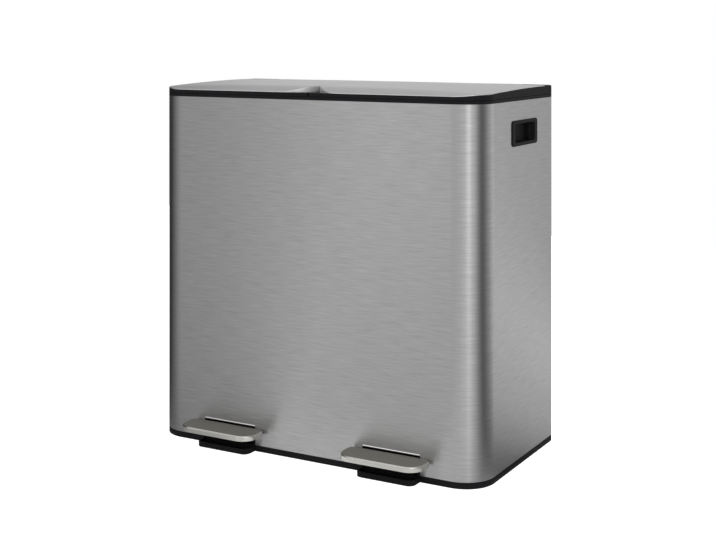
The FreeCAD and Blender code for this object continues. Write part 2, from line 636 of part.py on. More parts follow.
def lid_block(drop):
    """Everything under the lid's top, lowered by the drop: ruled between four lanes that
    run from front to rear, with more points where the front rolls down."""
    spill = number("dims.cover_wall")
    roll = number("dims.front_roll")
    deep = number("dims.body_depth - dims.housing_depth") + spill
    stations = [-spill, roll / 4, roll / 2, roll, 2 * roll, (2 * roll + deep) / 2, deep]
    front = number(FRONT)
    base = number(RIM_TOP) - drop
    floor = number("dims.shell_top")
    lanes = []
    for across in (-spill, number(f"{HALF} / 2"), number(f"3 * {HALF} / 4"),
                   number(HALF) + spill):
        points = [V(across, front + back, base + lid_height(across, back))
                  for back in stations]
        top = Part.BSplineCurve()
        top.interpolate(points)
        low_rear = V(across, front + deep, floor)
        low_front = V(across, front - spill, floor)
        lanes.append(Part.Wire([top.toShape(), Part.makeLine(points[-1], low_rear),
                                Part.makeLine(low_rear, low_front),
                                Part.makeLine(low_front, points[0])]))
    return Part.makeLoft(lanes, True, True)


def lid_plan(inset, rear, bottom, height, corner="dims.seam_corner"):
    """A prism with the right lid's plan, drawn in from its outer face by the inset, and
    with the given corner at the seam."""
    left = number("dims.seam_gap / 2") + inset
    right = number(HALF) - inset
    front = number(FRONT) + inset
    near = max(number(corner) - inset, number("dims.seam_gap / 2"))
    far = number("dims.front_corner") - inset
    root_half = 0.5 ** 0.5
    edges = [
        Part.LineSegment(V(left + near, front, bottom), V(right - far, front, bottom)),
        Part.Arc(V(right - far, front, bottom),
                 V(right - far + far * root_half, front + far - far * root_half, bottom),
                 V(right, front + far, bottom)),
        Part.LineSegment(V(right, front + far, bottom), V(right, rear, bottom)),
        Part.LineSegment(V(right, rear, bottom), V(left, rear, bottom)),
        Part.LineSegment(V(left, rear, bottom), V(left, front + near, bottom)),
        Part.Arc(V(left, front + near, bottom),
                 V(left + near - near * root_half, front + near - near * root_half, bottom),
                 V(left + near, front, bottom))]
    wire = Part.Wire([edge.toShape() for edge in edges])
    return Part.Face(wire).extrude(V(0, 0, height))


def on_side(shape, sign):
    """The right lid's shape, or its mirror image for the left lid."""
    if sign > 0:
        return shape
    return shape.mirror(V(0, 0, 0), V(1, 0, 0))


def store(name, shape):
    item = doc.addObject("Part::Feature", name)
    item.Label = name
    item.Shape = shape
    return item


def make_lid_skirt_shape():
    """The steel turned down round the lid's front corner at the seam, to a level edge."""
    wall = number("dims.cover_wall")
    level = number(f"{RIM_TOP} + dims.lid_front_height") - wall
    tall = number("dims.crown_height")
    rear = number(f"{REAR} - dims.cover_end")
    corner = number("dims.seam_corner + dims.seam_gap / 2")
    ring = lid_plan(0, rear, level, tall).cut(lid_plan(wall, 2 * rear, level, tall))
    near = Part.makeBox(corner, number("dims.body_depth"), tall, V(0, number(FRONT), level))
    return ring.common(near).common(lid_block(wall / 2))


def make_lid_cover_shape():
    """The pressed steel skin, one sheet thick, down to the black frame's edge."""
    rear = number(f"{REAR} - dims.cover_end")
    plan = lid_plan(0, rear, number(LID_BOTTOM), number("2 * dims.crown_height"))
    skin = lid_block(0).cut(lid_block(number("dims.cover_wall"))).common(plan)
    return skin.fuse(make_lid_skirt_shape()).removeSplitter()


def make_lid_frame_shape():
    """The moulded frame under the skin: a skirt flush with the body, a web that backs
    the skin, two hinge arms and the crank lug."""
    bottom = number(LID_BOTTOM)
    rear = number(LID_REAR)
    wall = number("dims.frame_wall")
    tall = number("2 * dims.crown_height")
    cover = number("dims.cover_wall")
    web = number("dims.web_wall")
    level = number(f"{RIM_TOP} + dims.lid_front_height") - cover
    square = "dims.frame_corner"
    outer = lid_plan(0, rear, level, tall).fuse(
        lid_plan(0, rear, bottom, level - bottom, square))
    inner = lid_plan(wall, rear - wall, bottom - wall, tall).fuse(
        lid_plan(wall, rear - wall, bottom - wall, level - web - bottom + wall, square))
    frame = lid_block(cover).common(outer)
    hollow = lid_block(cover + web).common(inner)
    frame = frame.cut(hollow).cut(make_lid_skirt_shape())
    seam = number("dims.seam_gap / 2")
    cover_end = number(f"{REAR} - dims.cover_end + dims.seat_gap")
    strip_top = number(f"{RIM_TOP} + dims.rear_strip_height")
    strip_low = strip_top - cover - web
    strip = Part.makeBox(number(HALF) - seam, rear - cover_end, strip_top - strip_low,
                         V(seam, cover_end, strip_low))
    frame = frame.fuse(strip)
    post_low = bottom + number("dims.bumper_rise")
    post_tall = number(f"{RIM_TOP} + dims.lid_front_height") - post_low
    for lane in bumper_lanes():
        frame = frame.fuse(Part.makeCylinder(
            number("dims.post_radius"), post_tall,
            V(number(lane), number(f"{FRONT} + dims.bumper_inset"), post_low)))
    hinge_y = number(HINGE_Y)
    hinge_z = number(HINGE_Z)
    barrel = number("dims.barrel_radius")
    arm = number("dims.arm_width")
    for place_x in arm_places(1):
        start = number(place_x) - arm / 2
        bar = Part.makeBox(arm, hinge_y - rear + wall, strip_top - (hinge_z - barrel / 2),
                           V(start, rear - wall, hinge_z - barrel / 2))
        knuckle = Part.makeCylinder(barrel, arm, V(start, hinge_y, hinge_z), V(1, 0, 0))
        frame = frame.fuse(bar.fuse(knuckle))
    bore = Part.makeCylinder(number("dims.pin_radius + dims.running_gap"), number(HALF),
                             V(0, hinge_y, hinge_z), V(1, 0, 0))
    frame = frame.cut(bore)
    middle = number(pedal_x(1))
    fork = number(f"{FORK_HALF} + dims.arm_side_gap")
    pass_through = Part.makeBox(2 * fork, 2 * wall, strip_low - bottom + 1,
                                V(middle - fork, rear - 1.5 * wall, bottom - 1))
    frame = frame.cut(pass_through)
    width = number("dims.lug_width")
    radius = number("dims.lug_radius")
    crank_y = number(CRANK_Y)
    crank_z = number(CRANK_Z)
    lug = Part.makeBox(width, 2 * radius, strip_low - crank_z + 1,
                       V(middle - width / 2, crank_y - radius, crank_z))
    boss = Part.makeCylinder(radius, width, V(middle - width / 2, crank_y, crank_z), V(1, 0, 0))
    pin_hole = Part.makeCylinder(number("dims.crank_pin_radius"), 2 * width,
                                 V(middle - width, crank_y, crank_z), V(1, 0, 0))
    return frame.fuse(lug.fuse(boss)).cut(pin_hole).removeSplitter()


def make_crank_pin(side, sign):
    length = f"(2 * {FORK_HALF})"
    return new_cylinder(f"{side}_crank_pin", "dims.crank_pin_radius", length,
                        f"{pedal_x(sign)} - {length} / 2", CRANK_Y, CRANK_Z, V(1, 0, 0))


def bumper_lanes():
    return ("(dims.seam_corner + dims.seam_gap)", f"({HALF} - dims.front_corner)")


def make_lid_bumpers(side, sign):
    """Soft buttons under the posts at the front of the lid, which land on the rim."""
    buttons = [new_cylinder("bumper", "dims.bumper_radius",
                            "dims.lid_gap - dims.flat_gap + dims.bumper_rise",
                            f"{sign} * {lane}", f"{FRONT} + dims.bumper_inset",
                            f"{RIM_TOP} + dims.flat_gap") for lane in bumper_lanes()]
    return gather(f"{side}_lid_bumpers", buttons)


# ------------------------------------------------------------- push rods and dampers

def make_rod_yoke(side, sign):
    """The forked head on the push rod: a level slot in each prong lets the crank pin
    move forwards and back as it swings."""
    body = new_body(f"{side}_rod_yoke")
    x = pedal_x(sign)
    top = f"({CRANK_Z} + dims.crank_pin_radius + dims.slot_play + dims.slot_wall)"
    bottom = f"({CRANK_Z} - dims.yoke_below)"
    plan = new_sketch(body, "XY_Plane", bottom)
    draw_rectangle(plan, f"{x} - {FORK_HALF}", f"{ROD_Y} - {YOKE_HALF}",
                   f"{x} + {FORK_HALF}", f"{ROD_Y} + {YOKE_HALF}")
    add_pad(body, plan, f"{top} - {bottom}")
    half_lug = "(dims.lug_width / 2 + dims.fork_gap)"
    cut_block(body, f"{x} - {half_lug}", f"{x} + {half_lug}", f"{ROD_Y} - {YOKE_HALF} - 1",
              f"{ROD_Y} + {YOKE_HALF} + 1",
              f"{CRANK_Z} - dims.lug_radius - dims.slot_play - dims.fork_gap", f"{top} + 1")
    slot_half = f"({YOKE_HALF} - dims.slot_wall)"
    slot_radius = "(dims.crank_pin_radius + dims.slot_play)"
    slot = new_sketch(body, "YZ_Plane", f"{x} - {FORK_HALF} - 1")
    draw_rounded(slot, f"({ROD_Y} - {slot_half})", f"({CRANK_Z} - {slot_radius})",
                 f"({ROD_Y} + {slot_half})", f"({CRANK_Z} + {slot_radius})",
                 ("dims.crank_pin_radius",) * 4)
    add_pocket(body, slot, f"2 * {FORK_HALF} + 2")
    cut_bore(body, "XY_Plane", f"{bottom} - 1", "dims.yoke_socket + 1", [(x, ROD_Y)],
             "dims.rod_radius")
    return body


def make_push_rod(side, sign):
    top = f"({CRANK_Z} - dims.yoke_below + dims.yoke_socket)"
    return new_cylinder(f"{side}_push_rod", "dims.rod_radius",
                        f"{top} - {ROD_BOTTOM} - dims.rod_foot_height / 2", pedal_x(sign),
                        ROD_Y, f"{ROD_BOTTOM} + dims.rod_foot_height / 2")


def make_rod_foot(side, sign):
    body = new_body(f"{side}_rod_foot")
    disc = new_sketch(body, "XY_Plane", ROD_BOTTOM)
    draw_circle(disc, pedal_x(sign), ROD_Y, "dims.rod_foot_radius")
    pad = add_pad(body, disc, "dims.rod_foot_height")
    top = number(f"{ROD_BOTTOM} + dims.rod_foot_height")
    add_chamfer(body, pad, "dims.rod_foot_height / 5", lambda edge: lies_at_height(edge, top))
    cut_bore(body, "XY_Plane", f"{ROD_BOTTOM} + dims.rod_foot_height / 2",
             "dims.rod_foot_height", [(pedal_x(sign), ROD_Y)], "dims.rod_radius")
    return body


def make_rod_guides():
    guides = []
    for side, sign in SIDES:
        for name, level in (("low", "dims.low_guide"),
                            ("high", "(dims.shell_top - dims.high_guide_drop)")):
            body = new_body(f"{side}_{name}_guide")
            x = pedal_x(sign)
            plan = new_sketch(body, "XY_Plane", level)
            draw_rectangle(plan, f"{x} - dims.guide_width / 2",
                           f"{ROD_Y} - dims.rod_radius - dims.guide_wall",
                           f"{x} + dims.guide_width / 2", f"{REAR} - dims.shell_wall")
            add_pad(body, plan, "dims.guide_height")
            cut_bore(body, "XY_Plane", f"{level} - dims.flat_gap",
                     "dims.guide_height + 2 * dims.flat_gap",
                     [(x, ROD_Y)], "dims.rod_radius + dims.running_gap")
            guides.append(body)
    return gather("rod_guides", guides)


def damper_x(sign):
    return f"({pedal_x(sign)} + {sign} * dims.damper_offset)"


def make_damper_cylinder(side, sign):
    """A turned cylinder with a capped mouth, and the saddle that holds it to the wall."""
    body = new_body(f"{side}_damper_cylinder")
    x = damper_x(sign)
    low = new_sketch(body, "XY_Plane", DAMPER_BOTTOM)
    draw_circle(low, x, ROD_Y, "dims.damper_radius")
    add_pad(body, low, "dims.damper_length")
    saddle_level = f"({DAMPER_BOTTOM} + dims.guide_height)"
    add_block(body, f"{x} - dims.damper_radius / 2", f"{x} + dims.damper_radius / 2",
              ROD_Y, f"{REAR} - dims.shell_wall", saddle_level,
              f"{saddle_level} + 2 * dims.guide_height")
    cut_bore(body, "XY_Plane", f"{DAMPER_BOTTOM} + dims.damper_wall",
             "dims.damper_length - 2 * dims.damper_wall", [(x, ROD_Y)],
             "dims.damper_radius - dims.damper_wall")
    cut_bore(body, "XY_Plane", f"{DAMPER_TOP} - 2 * dims.damper_wall",
             "3 * dims.damper_wall", [(x, ROD_Y)], "dims.damper_rod_radius + dims.flat_gap")
    return body


def make_damper_rod(side, sign):
    """The piston and its rod, in the cylinder at rest, with the clamp to the push rod."""
    body = new_body(f"{side}_damper_rod")
    x = damper_x(sign)
    start = f"({DAMPER_BOTTOM} + 2 * dims.damper_wall)"
    clamp = f"({DAMPER_TOP} + dims.damper_rest_reach)"
    piston = new_sketch(body, "XY_Plane", start)
    draw_circle(piston, x, ROD_Y, "dims.damper_radius - dims.damper_wall - dims.flat_gap")
    add_pad(body, piston, "dims.piston_height")
    rod = new_sketch(body, "XY_Plane", start)
    draw_circle(rod, x, ROD_Y, "dims.damper_rod_radius")
    add_pad(body, rod, f"{clamp} + dims.clamp_height / 2 - {start}")
    reach = "(dims.rod_radius + 2)"
    x0, x1 = mirrored_span(sign, f"({PEDAL_X} - {reach})",
                           f"({PEDAL_X} + dims.damper_offset + {reach})")
    add_block(body, x0, x1, f"{ROD_Y} - {reach}", f"{ROD_Y} + {reach}", clamp,
              f"{clamp} + dims.clamp_height")
    cut_bore(body, "XY_Plane", f"{clamp} - 1", "dims.clamp_height + 2",
             [(pedal_x(sign), ROD_Y)], "dims.rod_radius")
    return body


def make_rod_cover(side, sign):
    """A channel from the base to under the rim, which keeps the bucket off the rod."""
    body = new_body(f"{side}_rod_cover")
    inner, outer = mirrored_span(
        sign, f"({PEDAL_X} - dims.rod_cover_side)",
        f"({PEDAL_X} + dims.damper_offset + dims.rod_cover_side)")
    front = f"({ROD_Y} - dims.rod_cover_front)"
    back = f"({REAR} - dims.shell_wall - dims.flat_gap)"
    wall = "dims.rod_cover_wall"
    channel = new_sketch(body, "XY_Plane", "dims.deck_top")
    draw_polygon(channel, [
        (inner, back), (inner, front), (outer, front), (outer, back),
        (f"{outer} - {wall}", back), (f"{outer} - {wall}", f"{front} + {wall}"),
        (f"{inner} + {wall}", f"{front} + {wall}"), (f"{inner} + {wall}", back)])
    add_pad(body, channel, "dims.shell_top - dims.rod_cover_drop - dims.deck_top")
    return body


# --------------------------------------------------------------- handles and buckets

def make_side_handle(side, sign):
    """A moulded cup let into the shell's side, with a flange round its mouth and a
    ledge at the rear of the cup."""
    body = new_body(f"{side}_side_handle")
    face = f"({sign} * {HALF})"
    outwards = sign > 0
    flange = new_sketch(body, "YZ_Plane", face)
    handle_outline(flange, "0", "0", "dims.handle_corner")
    plate = add_pad(body, flange, "dims.handle_flange", outwards)
    outer = number(f"{face} + {sign} * dims.handle_flange")
    add_chamfer(body, plate, "dims.handle_flange / 2",
                lambda edge: abs(edge.BoundBox.XMin - outer) < 0.01
                and edge.BoundBox.XLength < 0.01)
    cup = new_sketch(body, "YZ_Plane", face)
    handle_outline(cup, "(dims.cup_border - dims.cup_wall)",
                   "(dims.cup_border_high - dims.cup_wall)", "dims.handle_corner")
    add_pad(body, cup, "dims.cup_depth", not outwards)
    mouth = new_sketch(body, "YZ_Plane", f"{face} + {sign} * dims.handle_flange")
    handle_outline(mouth, "dims.cup_border", "dims.cup_border_high",
                   "(dims.handle_corner - dims.cup_wall)")
    add_pocket(body, mouth, "dims.cup_depth + dims.handle_flange - dims.cup_wall",
               not outwards)
    cup_rear = f"({HANDLE_Y} + dims.handle_width / 2 - dims.cup_border)"
    cup_half = "(dims.handle_height / 2 - dims.cup_border_high + dims.cup_wall / 2)"
    floor_depth = f"({HALF} - dims.cup_depth + dims.cup_wall / 2)"
    x0, x1 = mirrored_span(sign, floor_depth, f"{floor_depth} + dims.cup_step")
    add_block(body, x0, x1, f"{cup_rear} - dims.cup_step_share",
              f"{cup_rear} + dims.cup_wall / 2", f"{HANDLE_Z} - {cup_half}",
              f"{HANDLE_Z} + {cup_half}")
    return body


def make_bucket(side, sign):
    """A drafted bucket with a turned-out lip and a hand grip through front and rear."""
    body = new_body(f"{side}_bucket")
    x0, x1 = mirrored_span(sign, "dims.bucket_seam", f"({HALF} - dims.bucket_side)")
    y0 = f"({FRONT} + dims.bucket_front)"
    y1 = f"({REAR} - dims.bucket_rear)"
    corner = ("dims.bucket_corner",) * 4
    lip = "dims.bucket_lip"

    def wall_loft(kind, grow, floor_level):
        """A drafted prism with a bevelled foot, from a floor level to the mouth."""
        sections = []
        bevel = "dims.bucket_bevel"
        for level, draft in ((floor_level, f"(dims.bucket_draft + {bevel})"),
                             (f"{floor_level} + {bevel}", "dims.bucket_draft"),
                             (BUCKET_TOP, "0")):
            inset = f"({draft} + {lip} + {grow})"
            sketch = new_sketch(body, "XY_Plane", level)
            draw_rounded(sketch, f"({x0} + {inset})", f"({y0} + {inset})",
                         f"({x1} - {inset})", f"({y1} - {inset})",
                         (f"(dims.bucket_corner - {grow})",) * 4)
            sections.append(sketch)
        loft = body.newObject(kind, f"{body.Name}_loft")
        loft.Profile = sections[0]
        loft.Sections = sections[1:]
        loft.Ruled = True
        doc.recompute()
        return loft

    wall_loft("PartDesign::AdditiveLoft", "0", "dims.deck_top")
    wall_loft("PartDesign::SubtractiveLoft", "dims.bucket_wall",
              "dims.deck_top + dims.bucket_wall")
    turned = new_sketch(body, "XY_Plane", f"{BUCKET_TOP} - dims.bucket_lip_height")
    wide = (f"(dims.bucket_corner + {lip})",) * 4
    draw_rounded(turned, f"({x0})", f"({y0})", f"({x1})", f"({y1})", wide)
    inner = ("(dims.bucket_corner - dims.bucket_wall / 2)",) * 4
    inset = f"({lip} + dims.bucket_wall / 2)"
    draw_rounded(turned, f"({x0} + {inset})", f"({y0} + {inset})", f"({x1} - {inset})",
                 f"({y1} - {inset})", inner)
    add_pad(body, turned, "dims.bucket_lip_height")
    middle = f"(({x0} + {x1}) / 2)"
    grip = new_sketch(body, "XZ_Plane", f"{y0} - 1")
    top_of_grip = f"({BUCKET_TOP} - dims.grip_drop)"
    round_end = ("(dims.grip_height / 2 - 0.5)",) * 4
    draw_rounded(grip, f"({middle} - dims.grip_width / 2)",
                 f"({top_of_grip} - dims.grip_height)", f"({middle} + dims.grip_width / 2)",
                 top_of_grip, round_end)
    add_pocket(body, grip, f"{y1} - {y0} + 2")
    return body


# ------------------------------------------------------------------------- the assembly

def build():
    parts = [make_outer_shell(), make_base_ring(), make_base_deck(), make_pedal_bays(),
             make_base_feet(), make_pedal_pins(), make_top_rim(), make_hinge_pins(),
             make_rod_guides()]
    cover = make_lid_cover_shape()
    frame = make_lid_frame_shape()
    for side, sign in SIDES:
        parts += [make_pedal_guard(side, sign), make_pedal_pad(side, sign),
                  make_pedal_lever(side, sign),
                  store(f"{side}_lid_cover", on_side(cover, sign)),
                  store(f"{side}_lid_frame", on_side(frame, sign)),
                  make_crank_pin(side, sign), make_lid_bumpers(side, sign),
                  make_rod_yoke(side, sign), make_push_rod(side, sign),
                  make_rod_foot(side, sign), make_damper_cylinder(side, sign),
                  make_damper_rod(side, sign), make_rod_cover(side, sign),
                  make_side_handle(side, sign), make_bucket(side, sign)]
    return parts


def check(parts):
    for item in doc.Objects:
        if "Invalid" in item.State or "Error" in item.State:
            raise RuntimeError(f"{item.Label} did not compute")
    for item in parts:
        if item.Shape.isNull() or not item.Shape.isValid() or not item.Shape.Solids:
            raise RuntimeError(f"{item.Label} is not a valid solid")


def export(parts):
    os.makedirs("parts", exist_ok=True)
    for item in parts:
        item.Shape.exportStep(f"parts/{item.Label}.step")


parts = build()
doc.recompute()
check(parts)
export(parts)
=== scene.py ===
"""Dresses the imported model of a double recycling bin: brushed steel skins, lids and pedals
over the fixed frame, moulded plastic elsewhere, and a plain white studio round it.

Metres, +Z up, +Y towards the hinges. Every piece is made where the frame's nodes are.
"""

import collections
import json
import math

import bmesh
import bpy
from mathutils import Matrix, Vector


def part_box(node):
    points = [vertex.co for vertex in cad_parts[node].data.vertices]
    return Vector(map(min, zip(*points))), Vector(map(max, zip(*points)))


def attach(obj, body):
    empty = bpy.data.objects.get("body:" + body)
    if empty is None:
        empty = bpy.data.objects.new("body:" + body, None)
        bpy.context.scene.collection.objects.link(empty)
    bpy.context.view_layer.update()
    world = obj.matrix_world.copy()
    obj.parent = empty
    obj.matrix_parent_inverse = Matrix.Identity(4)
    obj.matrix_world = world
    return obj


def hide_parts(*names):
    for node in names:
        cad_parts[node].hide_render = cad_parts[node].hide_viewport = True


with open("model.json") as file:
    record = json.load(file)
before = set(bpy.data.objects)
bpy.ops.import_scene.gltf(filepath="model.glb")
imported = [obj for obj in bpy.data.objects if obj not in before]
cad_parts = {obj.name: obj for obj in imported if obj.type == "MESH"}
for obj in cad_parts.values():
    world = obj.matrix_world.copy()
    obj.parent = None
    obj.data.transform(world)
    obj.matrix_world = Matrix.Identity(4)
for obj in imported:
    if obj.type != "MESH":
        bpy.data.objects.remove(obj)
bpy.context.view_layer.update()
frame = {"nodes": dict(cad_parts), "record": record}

bl_info = {
    "name": "Double recycling bin",
    "version": (1, 0, 0),
    "blender": (4, 5, 0),
    "location": "View3D > Sidebar > Recycling bin",
    "description": "Makes the pieces and finishes of a pedal bin with two lids",
    "category": "Object",
}

SIDES = (("left", -1), ("right", 1))
MM = 0.001
RIM_OVER_SHELL = 5 * MM     # the rim's black band above the steel
FOLD_MIDDLE = 0.3           # of a fold's radius, from its edge to its middle

shell_low, shell_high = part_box("outer_shell")
rim_low, rim_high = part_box("top_rim")
cover_low, cover_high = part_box("right_lid_cover")
HALF_WIDTH = rim_high.x
FRONT = rim_low.y
REAR = rim_high.y
RIM_TOP = shell_high.z + RIM_OVER_SHELL


# ------------------------------------------------------------------ sizes and colours

def length(name, description, default):
    """A length that a user can change, in metres."""
    return bpy.props.FloatProperty(name=name, description=description, default=default,
                                   min=0, unit="LENGTH", precision=5)


def tint(name, description, default):
    """A colour written as it is seen, in sRGB hex."""
    return bpy.props.StringProperty(name=name, description=description, default=default)


class BinSizes(bpy.types.PropertyGroup):
    """Sizes of the pieces that the frame's boxes don't give."""
    front_corner: length("Front corner", "Radius of the body's front corners", 49 * MM)
    rear_corner: length("Rear corner", "Radius of the body's rear corners", 10.5 * MM)
    sheet: length("Sheet", "Thickness of the body's steel", 0.8 * MM)
    notch_width: length("Notch width", "Opening in the shell over each pedal", 98.5 * MM)
    notch_top: length("Notch top", "Height of the pedal opening", 39.8 * MM)
    lip_height: length("Lip height", "Folded lip over the pedal opening", 2.6 * MM)
    lip_proud: length("Lip depth", "How far the folded lip stands out", 1.2 * MM)
    seam_gap: length("Seam gap", "Gap between the two lids", 1.5 * MM)
    seam_corner: length("Seam corner", "Radius of the lids' corners at the seam", 50 * MM)
    lid_front: length("Lid front", "Height of the lid's front edge over the rim", 7.3 * MM)
    lid_crown: length("Lid crown", "Height of the lid's crown over the rim",
                      cover_high.z - RIM_TOP)
    crown_back: length("Crown place", "Crown's distance back from the front", 141.5 * MM)
    crown_radius: length("Crown radius", "Radius of the crown, front to rear", 4.622)
    front_roll: length("Front roll", "Depth of the rolled front of the lid", 30 * MM)
    side_fall: length("Side fall", "Fall of the lid to the side, at the front", 7.4 * MM)
    side_fall_rear: length("Rear side fall", "The same at the rear", 0.6 * MM)
    seam_fall: length("Seam fall", "Fall of the lid to the seam, at the front", 0.85 * MM)
    seam_roll: length("Seam roll", "Width of the lid that falls to the seam", 15 * MM)
    lid_edge: length("Lid edge", "Fold radius of the lid's edge", 0.8 * MM)
    pad_front: length("Pedal front corner", "Radius of the front corners", 24 * MM)
    pad_rear: length("Pedal rear corner", "Radius of the rear corners", 10 * MM)
    pad_edge: length("Pedal edge", "Radius of the rolled edge", 2.6 * MM)
    pad_sheet: length("Pedal sheet", "Thickness of the pedal's steel", 1.5 * MM)
    grip_corner: length("Grip corner", "Radius of the side grip's corners", 5.5 * MM)
    grip_flange: length("Grip flange", "Thickness of the grip's flange", 1.6 * MM)
    grip_border: length("Grip border", "Flange beside the grip's mouth", 11 * MM)
    grip_border_high: length("Grip border over", "Flange over the mouth", 5.5 * MM)
    grip_depth: length("Grip depth", "Depth of the cup behind the shell", 12.5 * MM)
    grip_step: length("Grip ledge", "Height of the ledge in the cup", 7 * MM)
    grip_step_width: length("Grip ledge width", "Width of the ledge", 7 * MM)


class BinColours(bpy.types.PropertyGroup):
    """Colours of the finishes, as they are seen."""
    steel_light: tint("Steel, light grain", "Lighter brush lines", "#C0C0C0")
    steel_dark: tint("Steel, dark grain", "Darker brush lines", "#8E8E8E")
    # Painted highlight: a lighter colour on the body's upward facing folds, such as the lip
    # over the pedal opening.
    steel_fold_highlight: tint("Steel, folded edge", "Painted highlight on the body's upward faces", "#E6E6E6")
    lid_light: tint("Lid steel, light grain", "Lighter brush lines", "#B1B1B1")
    lid_dark: tint("Lid steel, dark grain", "Darker brush lines", "#9E9E9E")
    # Painted highlight: a lighter colour on the sloping faces of the lids' rolled front and
    # edges.
    lid_fold_highlight: tint("Lid steel, pressed edge", "Painted highlight on the lids' sloping edges", "#DCDCDC")
    pedal_light: tint("Pedal steel, light grain", "Lighter satin lines", "#A3A19A")
    pedal_dark: tint("Pedal steel, dark grain", "Darker satin lines", "#77756E")
    # Painted highlight: a lighter colour on the steep faces of the pedals' rolled edges.
    pedal_fold_highlight: tint("Pedal steel, rolled edge", "Painted highlight on the pedals' rolled edges", "#C4C3BE")
    zinc: tint("Zinc", "Plated rods, levers and pins", "#9FA0A1")
    zinc_dull: tint("Zinc, dull", "Duller crystals of the plating", "#8A8B8D")
    black: tint("Black plastic", "Rim, lid frames, base and grips", "#18181A")
    black_worn: tint("Black plastic, rubbed", "Where the texture is rubbed", "#1E1E20")
    grey: tint("Grey plastic", "Guides, yokes and covers", "#4A4A4C")
    grey_worn: tint("Grey plastic, rubbed", "Paler flow marks", "#545456")
    bucket: tint("Bucket", "The two buckets", "#26272A")
    bucket_worn: tint("Bucket, scuffed", "Scuffs on the buckets", "#323337")
    rubber: tint("Rubber", "Feet and bumpers", "#1B1B1B")
    rubber_worn: tint("Rubber, dusty", "Dust on the rubber", "#262524")
    floor: tint("Floor", "Floor under the bin", "#F6F6F6")


def linear_colour(text):
    """Linear red, green, blue and alpha of an sRGB hex colour."""
    channels = [int(text[index:index + 2], 16) / 255 for index in (1, 3, 5)]
    return [value / 12.92 if value <= 0.04045 else ((value + 0.055) / 1.055) ** 2.4
            for value in channels] + [1.0]


# -------------------------------------------------------------------------- materials

def add_node(tree, kind, settings=(), values=(), links=()):
    """Add a node, with its settings, its sockets' values and the sockets it takes."""
    node = tree.nodes.new(kind)
    for name, value in settings:
        setattr(node, name, value)
    for socket, value in values:
        node.inputs[socket].default_value = value
    for socket, source in links:
        tree.links.new(source, node.inputs[socket])
    return node


def empty_tree(owner):
    """The node tree of a new material or world, with nothing in it."""
    owner.use_nodes = True
    owner.node_tree.nodes.clear()
    return owner.node_tree


def start_material(name, values):
    """A new material with one principled shader, set to the values."""
    material = bpy.data.materials.new(name)
    tree = empty_tree(material)
    shader = add_node(tree, "ShaderNodeBsdfPrincipled", values=values)
    add_node(tree, "ShaderNodeOutputMaterial", links=[("Surface", shader.outputs[0])])
    return material, tree, shader


# Another finish on a sheet's folds: its colour, which is lighter and paints a highlight there,
# the slopes (the normal's Z) where it starts and is full, and how many times the flat's
# roughness it has.
Fold = collections.namedtuple("Fold", "colour start full blur")


def brushed_steel(name, light, dark, roughness, grain_depth, fold):
    """Ferritic stainless sheet, brushed along its length on a belt: level streaks as long as a
    finger, a blur that is wide across the grain and narrow along it, and the slight waves that
    thin sheet keeps after folding. Its folds get a lighter colour, which is a painted
    highlight."""
    across_the_sheet = 0.25     # of a turn
    material, tree, shader = start_material(name, [
        ("Metallic", 1.0), ("Anisotropic Rotation", across_the_sheet)])
    streak_length = 42 * MM
    streak_width = 1.8 * MM     # real grit lines are 0.1 mm: drawn coarser, to show
    wave_length = 160 * MM
    wave_height = 0.22 * MM
    where = add_node(tree, "ShaderNodeTexCoord")
    stretched = add_node(tree, "ShaderNodeMapping",
                         values=[("Scale", (1 / streak_length, 1 / streak_width, 1))],
                         links=[("Vector", where.outputs["UV"])])
    streaks = add_node(tree, "ShaderNodeTexNoise",
                       values=[("Scale", 1.0), ("Detail", 3.0), ("Roughness", 0.65)],
                       links=[("Vector", stretched.outputs[0])])
    colour = add_node(tree, "ShaderNodeMix", [("data_type", "RGBA")],
                      [("A", linear_colour(dark)), ("B", linear_colour(light))],
                      [("Factor", streaks.outputs["Fac"])])
    surface = add_fold_highlight_and_blur(tree, shader, where, colour.outputs["Result"], roughness, fold)
    tree.links.new(surface, shader.inputs["Base Color"])
    waves = add_node(tree, "ShaderNodeTexNoise",
                     values=[("Scale", 1 / wave_length), ("Detail", 1.0)],
                     links=[("Vector", where.outputs["Object"])])
    rolled = add_node(tree, "ShaderNodeBump",
                      values=[("Strength", 1.0), ("Distance", wave_height)],
                      links=[("Height", waves.outputs["Fac"])])
    scored = add_node(tree, "ShaderNodeBump",
                      values=[("Strength", 1.0), ("Distance", grain_depth)],
                      links=[("Height", streaks.outputs["Fac"]),
                             ("Normal", rolled.outputs[0])])
    tangent = add_node(tree, "ShaderNodeTangent",
                       [("direction_type", "UV_MAP"), ("uv_map", "grain")])
    tree.links.new(scored.outputs[0], shader.inputs["Normal"])
    tree.links.new(tangent.outputs[0], shader.inputs["Tangent"])
    return material


def add_fold_highlight_and_blur(tree, shader, where, surface, roughness, fold):
    """Tell the folds of a brushed sheet from its flats by the slope, and give them their own
    colour, roughness and blur; their colour is lighter, a painted highlight. The result is the
    sheet's colour."""
    brushed, bent = 0.9, 0.4     # anisotropy of the flats and of the folds
    slope = add_node(tree, "ShaderNodeSeparateXYZ", links=[("Vector", where.outputs["Normal"])])
    share = add_node(tree, "ShaderNodeMapRange",
                     values=[("From Min", fold.start), ("From Max", fold.full)],
                     links=[("Value", slope.outputs["Z"])])
    for socket, flat, folded in (("Roughness", roughness, fold.blur * roughness),
                                 ("Anisotropic", brushed, bent)):
        change = add_node(tree, "ShaderNodeMapRange",
                          values=[("To Min", flat), ("To Max", folded)],
                          links=[("Value", share.outputs[0])])
        tree.links.new(change.outputs[0], shader.inputs[socket])
    # Mix in the fold colour: a painted highlight on the sloping faces.
    mixed = add_node(tree, "ShaderNodeMix", [("data_type", "RGBA")],
                     [("B", linear_colour(fold.colour))],
                     [("Factor", share.outputs[0]), ("A", surface)])
    return mixed.outputs["Result"]


